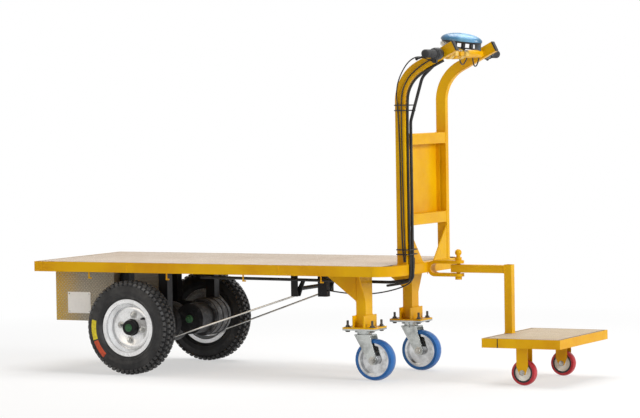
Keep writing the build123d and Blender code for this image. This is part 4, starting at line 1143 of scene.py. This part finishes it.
def tie_band(name, x_range, y_range, level, material):
    """The flat band of one cable tie, drawn round a box."""
    (x0, x1), (y0, y1) = x_range, y_range
    work = bmesh.new()
    corners = ((x0, y0), (x1, y0), (x1, y1), (x0, y1))
    signs = ((-1, -1), (1, -1), (1, 1), (-1, 1))
    rings = []
    for out, up in ((0, 0), (1, 0), (1, 1), (0, 1)):
        wall, height = TIE_WALL * out, level + TIE_HEIGHT * up
        rings.append([work.verts.new((x + sx * wall, y + sy * wall, height))
                      for (x, y), (sx, sy) in zip(corners, signs)])
    skin_over(work, rings, closed=True)
    return from_bmesh(name, work, material)


ties = []
for level in TIE_LEVELS:
    ties.append(tie_band("tie", TIE_X, TIE_Y, level, cable_rubber))
    head_centre = (0.466, -0.2040, level + TIE_HEIGHT / 2)
    ties.append(box_at("head", head_centre, TIE_HEAD, cable_rubber, 0.0, 0.0008))
fitted(joined("cable_ties", ties), "cart")

# Step wheels and hitch
# Red polyurethane on pale moulded cores with dark seal rings, on bright bolts in yellow forks. The
# hitch's jaw, its pin and the drawbar have the frame's enamel.
SEAL = [(0.0312, 0.0136), (0.0312, 0.0150), (0.0376, 0.0152), (0.0384, 0.0138)]
FORK_FACE = 0.0232
red_tread = rubber("red_tread", (0.46, 0.018, 0.030), (0.56, 0.07, 0.08), 0.30)
pale_core = rubber("pale_core", (0.94, 0.93, 0.89), (0.80, 0.77, 0.70), 0.38)
dress(red_tread, "step_tread_left", "step_tread_right")
dress(pale_core, "step_core_left", "step_core_right")
for name in ("left", "right"):
    wheel = centre_of("step_core_" + name)
    rings = []
    for hand, end in ((-1, "inner"), (1, "outer")):
        rings.append(turned("seal", on_side(SEAL, hand), wheel, moulded_black, steps=48))
        bolt = copies_of(hex_nut("step_nut", 0.0092, 0.0068, 0.003, 1.15), "step_bolt_" + name + "_" + end,
                         [(wheel.x, wheel.y + hand * FORK_FACE, wheel.z)], outward(hand), plated_steel, 13)
        fitted(bolt, "step")
    fitted(joined("seal_rings_" + name, rings), "step_wheel_" + name)

# Studio
# A seamless pale floor, soft lamps and the camera at the photograph's place. Near the cart the floor
# keeps its shadow; further out it turns into the photograph's plain white. From below it is clear.
FLOOR_SIZE = 60.0
PALE = 0.90
FADE_NEAR, FADE_FAR = 1.5, 3.4
WHITE_NEAR = 0.55
WORLD_LIGHT = 0.24
CAMERA_PLACE = (5.1275, -9.9155, 1.1218)
CAMERA_YAW = radians(27.31)
CAMERA_PITCH = radians(2.44)
CAMERA_ROLL = radians(-0.91)
CAMERA_LENS = 159.47


def showing_rays(tree):
    """1 on camera rays and on those that come off metal or through glass, else 0."""
    path = node_in(tree, "ShaderNodeLightPath")
    seen = path.outputs["Is Camera Ray"]
    for kind in ("Is Glossy Ray", "Is Transmission Ray"):
        either = node_in(tree, "ShaderNodeMath", operation="MAXIMUM")
        wire(tree, (seen, either.inputs[0]), (path.outputs[kind], either.inputs[1]))
        seen = either.outputs[0]
    return seen


floor_mesh = bpy.data.meshes.new("studio_floor")
reach = FLOOR_SIZE / 2
floor_corners = [(-reach, -reach, 0), (reach, -reach, 0), (reach, reach, 0), (-reach, reach, 0)]
floor_mesh.from_pydata(floor_corners, [], [(0, 1, 2, 3)])
floor = shown("studio_floor", floor_mesh)
paint = Finish("floor_paint", (PALE, PALE, PALE), 0.9)
set_sockets(paint.shader, {"Specular IOR Level": 0.0})
away = paint.add("ShaderNodeVectorMath", operation="LENGTH")
fade = paint.add("ShaderNodeMapRange", {"From Min": FADE_NEAR, "From Max": FADE_FAR, "To Min": WHITE_NEAR})
share = paint.add("ShaderNodeMath", operation="MULTIPLY")
glow = paint.add("ShaderNodeEmission", {"Strength": 1.0})
blend = paint.add("ShaderNodeMixShader")
side_seen = paint.add("ShaderNodeNewGeometry")
clear = paint.add("ShaderNodeBsdfTransparent")
one_sided = paint.add("ShaderNodeMixShader")
wire(paint.tree, (paint.place(), away.inputs[0]), (away.outputs["Value"], fade.inputs["Value"]),
     (showing_rays(paint.tree), share.inputs[0]), (fade.outputs["Result"], share.inputs[1]),
     (share.outputs[0], blend.inputs[0]), (paint.shader.outputs[0], blend.inputs[1]),
     (glow.outputs[0], blend.inputs[2]), (side_seen.outputs["Backfacing"], one_sided.inputs[0]),
     (blend.outputs[0], one_sided.inputs[1]), (clear.outputs[0], one_sided.inputs[2]),
     (one_sided.outputs[0], paint.tree.nodes["Material Output"].inputs["Surface"]))
floor_mesh.materials.append(paint.material)

world = bpy.data.worlds.new("studio_world")
bpy.context.scene.world = world
world.use_nodes = True
sky = world.node_tree
back = sky.nodes["Background"]
set_sockets(back, {"Color": (1.0, 1.0, 1.0, 1.0), "Strength": WORLD_LIGHT})
white = node_in(sky, "ShaderNodeBackground", {"Color": (1.0, 1.0, 1.0, 1.0), "Strength": 1.0})
choice = node_in(sky, "ShaderNodeMixShader")
wire(sky, (showing_rays(sky), choice.inputs[0]), (back.outputs[0], choice.inputs[1]),
     (white.outputs[0], choice.inputs[2]), (choice.outputs[0], sky.nodes["World Output"].inputs["Surface"]))

LIGHT_AIM = (0.0, 0.0, 0.4)
LAMPS = (
    ("key_lamp", (9.2, -1.7, 4.3), 3.6, 620.0, (1.0, 1.0, 1.0)),
    ("fill_lamp", (-2.4, -4.6, 2.6), 3.0, 42.0, (1.0, 0.84, 0.64)),
    ("top_lamp", (0.0, 1.0, 4.6), 3.4, 175.0, (1.0, 1.0, 1.0)),
)
for name, place, size, power, tint in LAMPS:
    light = bpy.data.lights.new(name, "AREA")
    light.shape = "SQUARE"
    light.size = size
    light.energy = power
    light.color = tint
    lamp = bpy.data.objects.new(name, light)
    lamp.location = place
    aim = Vector(LIGHT_AIM) - Vector(place)
    lamp.rotation_euler = aim.to_track_quat("-Z", "Y").to_euler()
    bpy.context.scene.collection.objects.link(lamp)

level_share = cos(CAMERA_PITCH)
ahead = Vector((-sin(CAMERA_YAW) * level_share, cos(CAMERA_YAW) * level_share, -sin(CAMERA_PITCH)))
level = Vector((cos(CAMERA_YAW), sin(CAMERA_YAW), 0.0))
upward = level.cross(ahead)
rolled = level * cos(CAMERA_ROLL) + upward * sin(CAMERA_ROLL)
rolled_up = upward * cos(CAMERA_ROLL) - level * sin(CAMERA_ROLL)
lens = bpy.data.cameras.new("photo_camera")
lens.lens = CAMERA_LENS
lens.sensor_width = 36.0
lens.clip_end = 200.0
camera = bpy.data.objects.new("photo_camera", lens)
turn = Matrix((rolled, rolled_up, -ahead)).transposed()
camera.matrix_world = Matrix.Translation(CAMERA_PLACE) @ turn.to_4x4()
bpy.context.scene.collection.objects.link(camera)
bpy.context.scene.camera = camera
bpy.context.scene.view_settings.view_transform = "Standard"
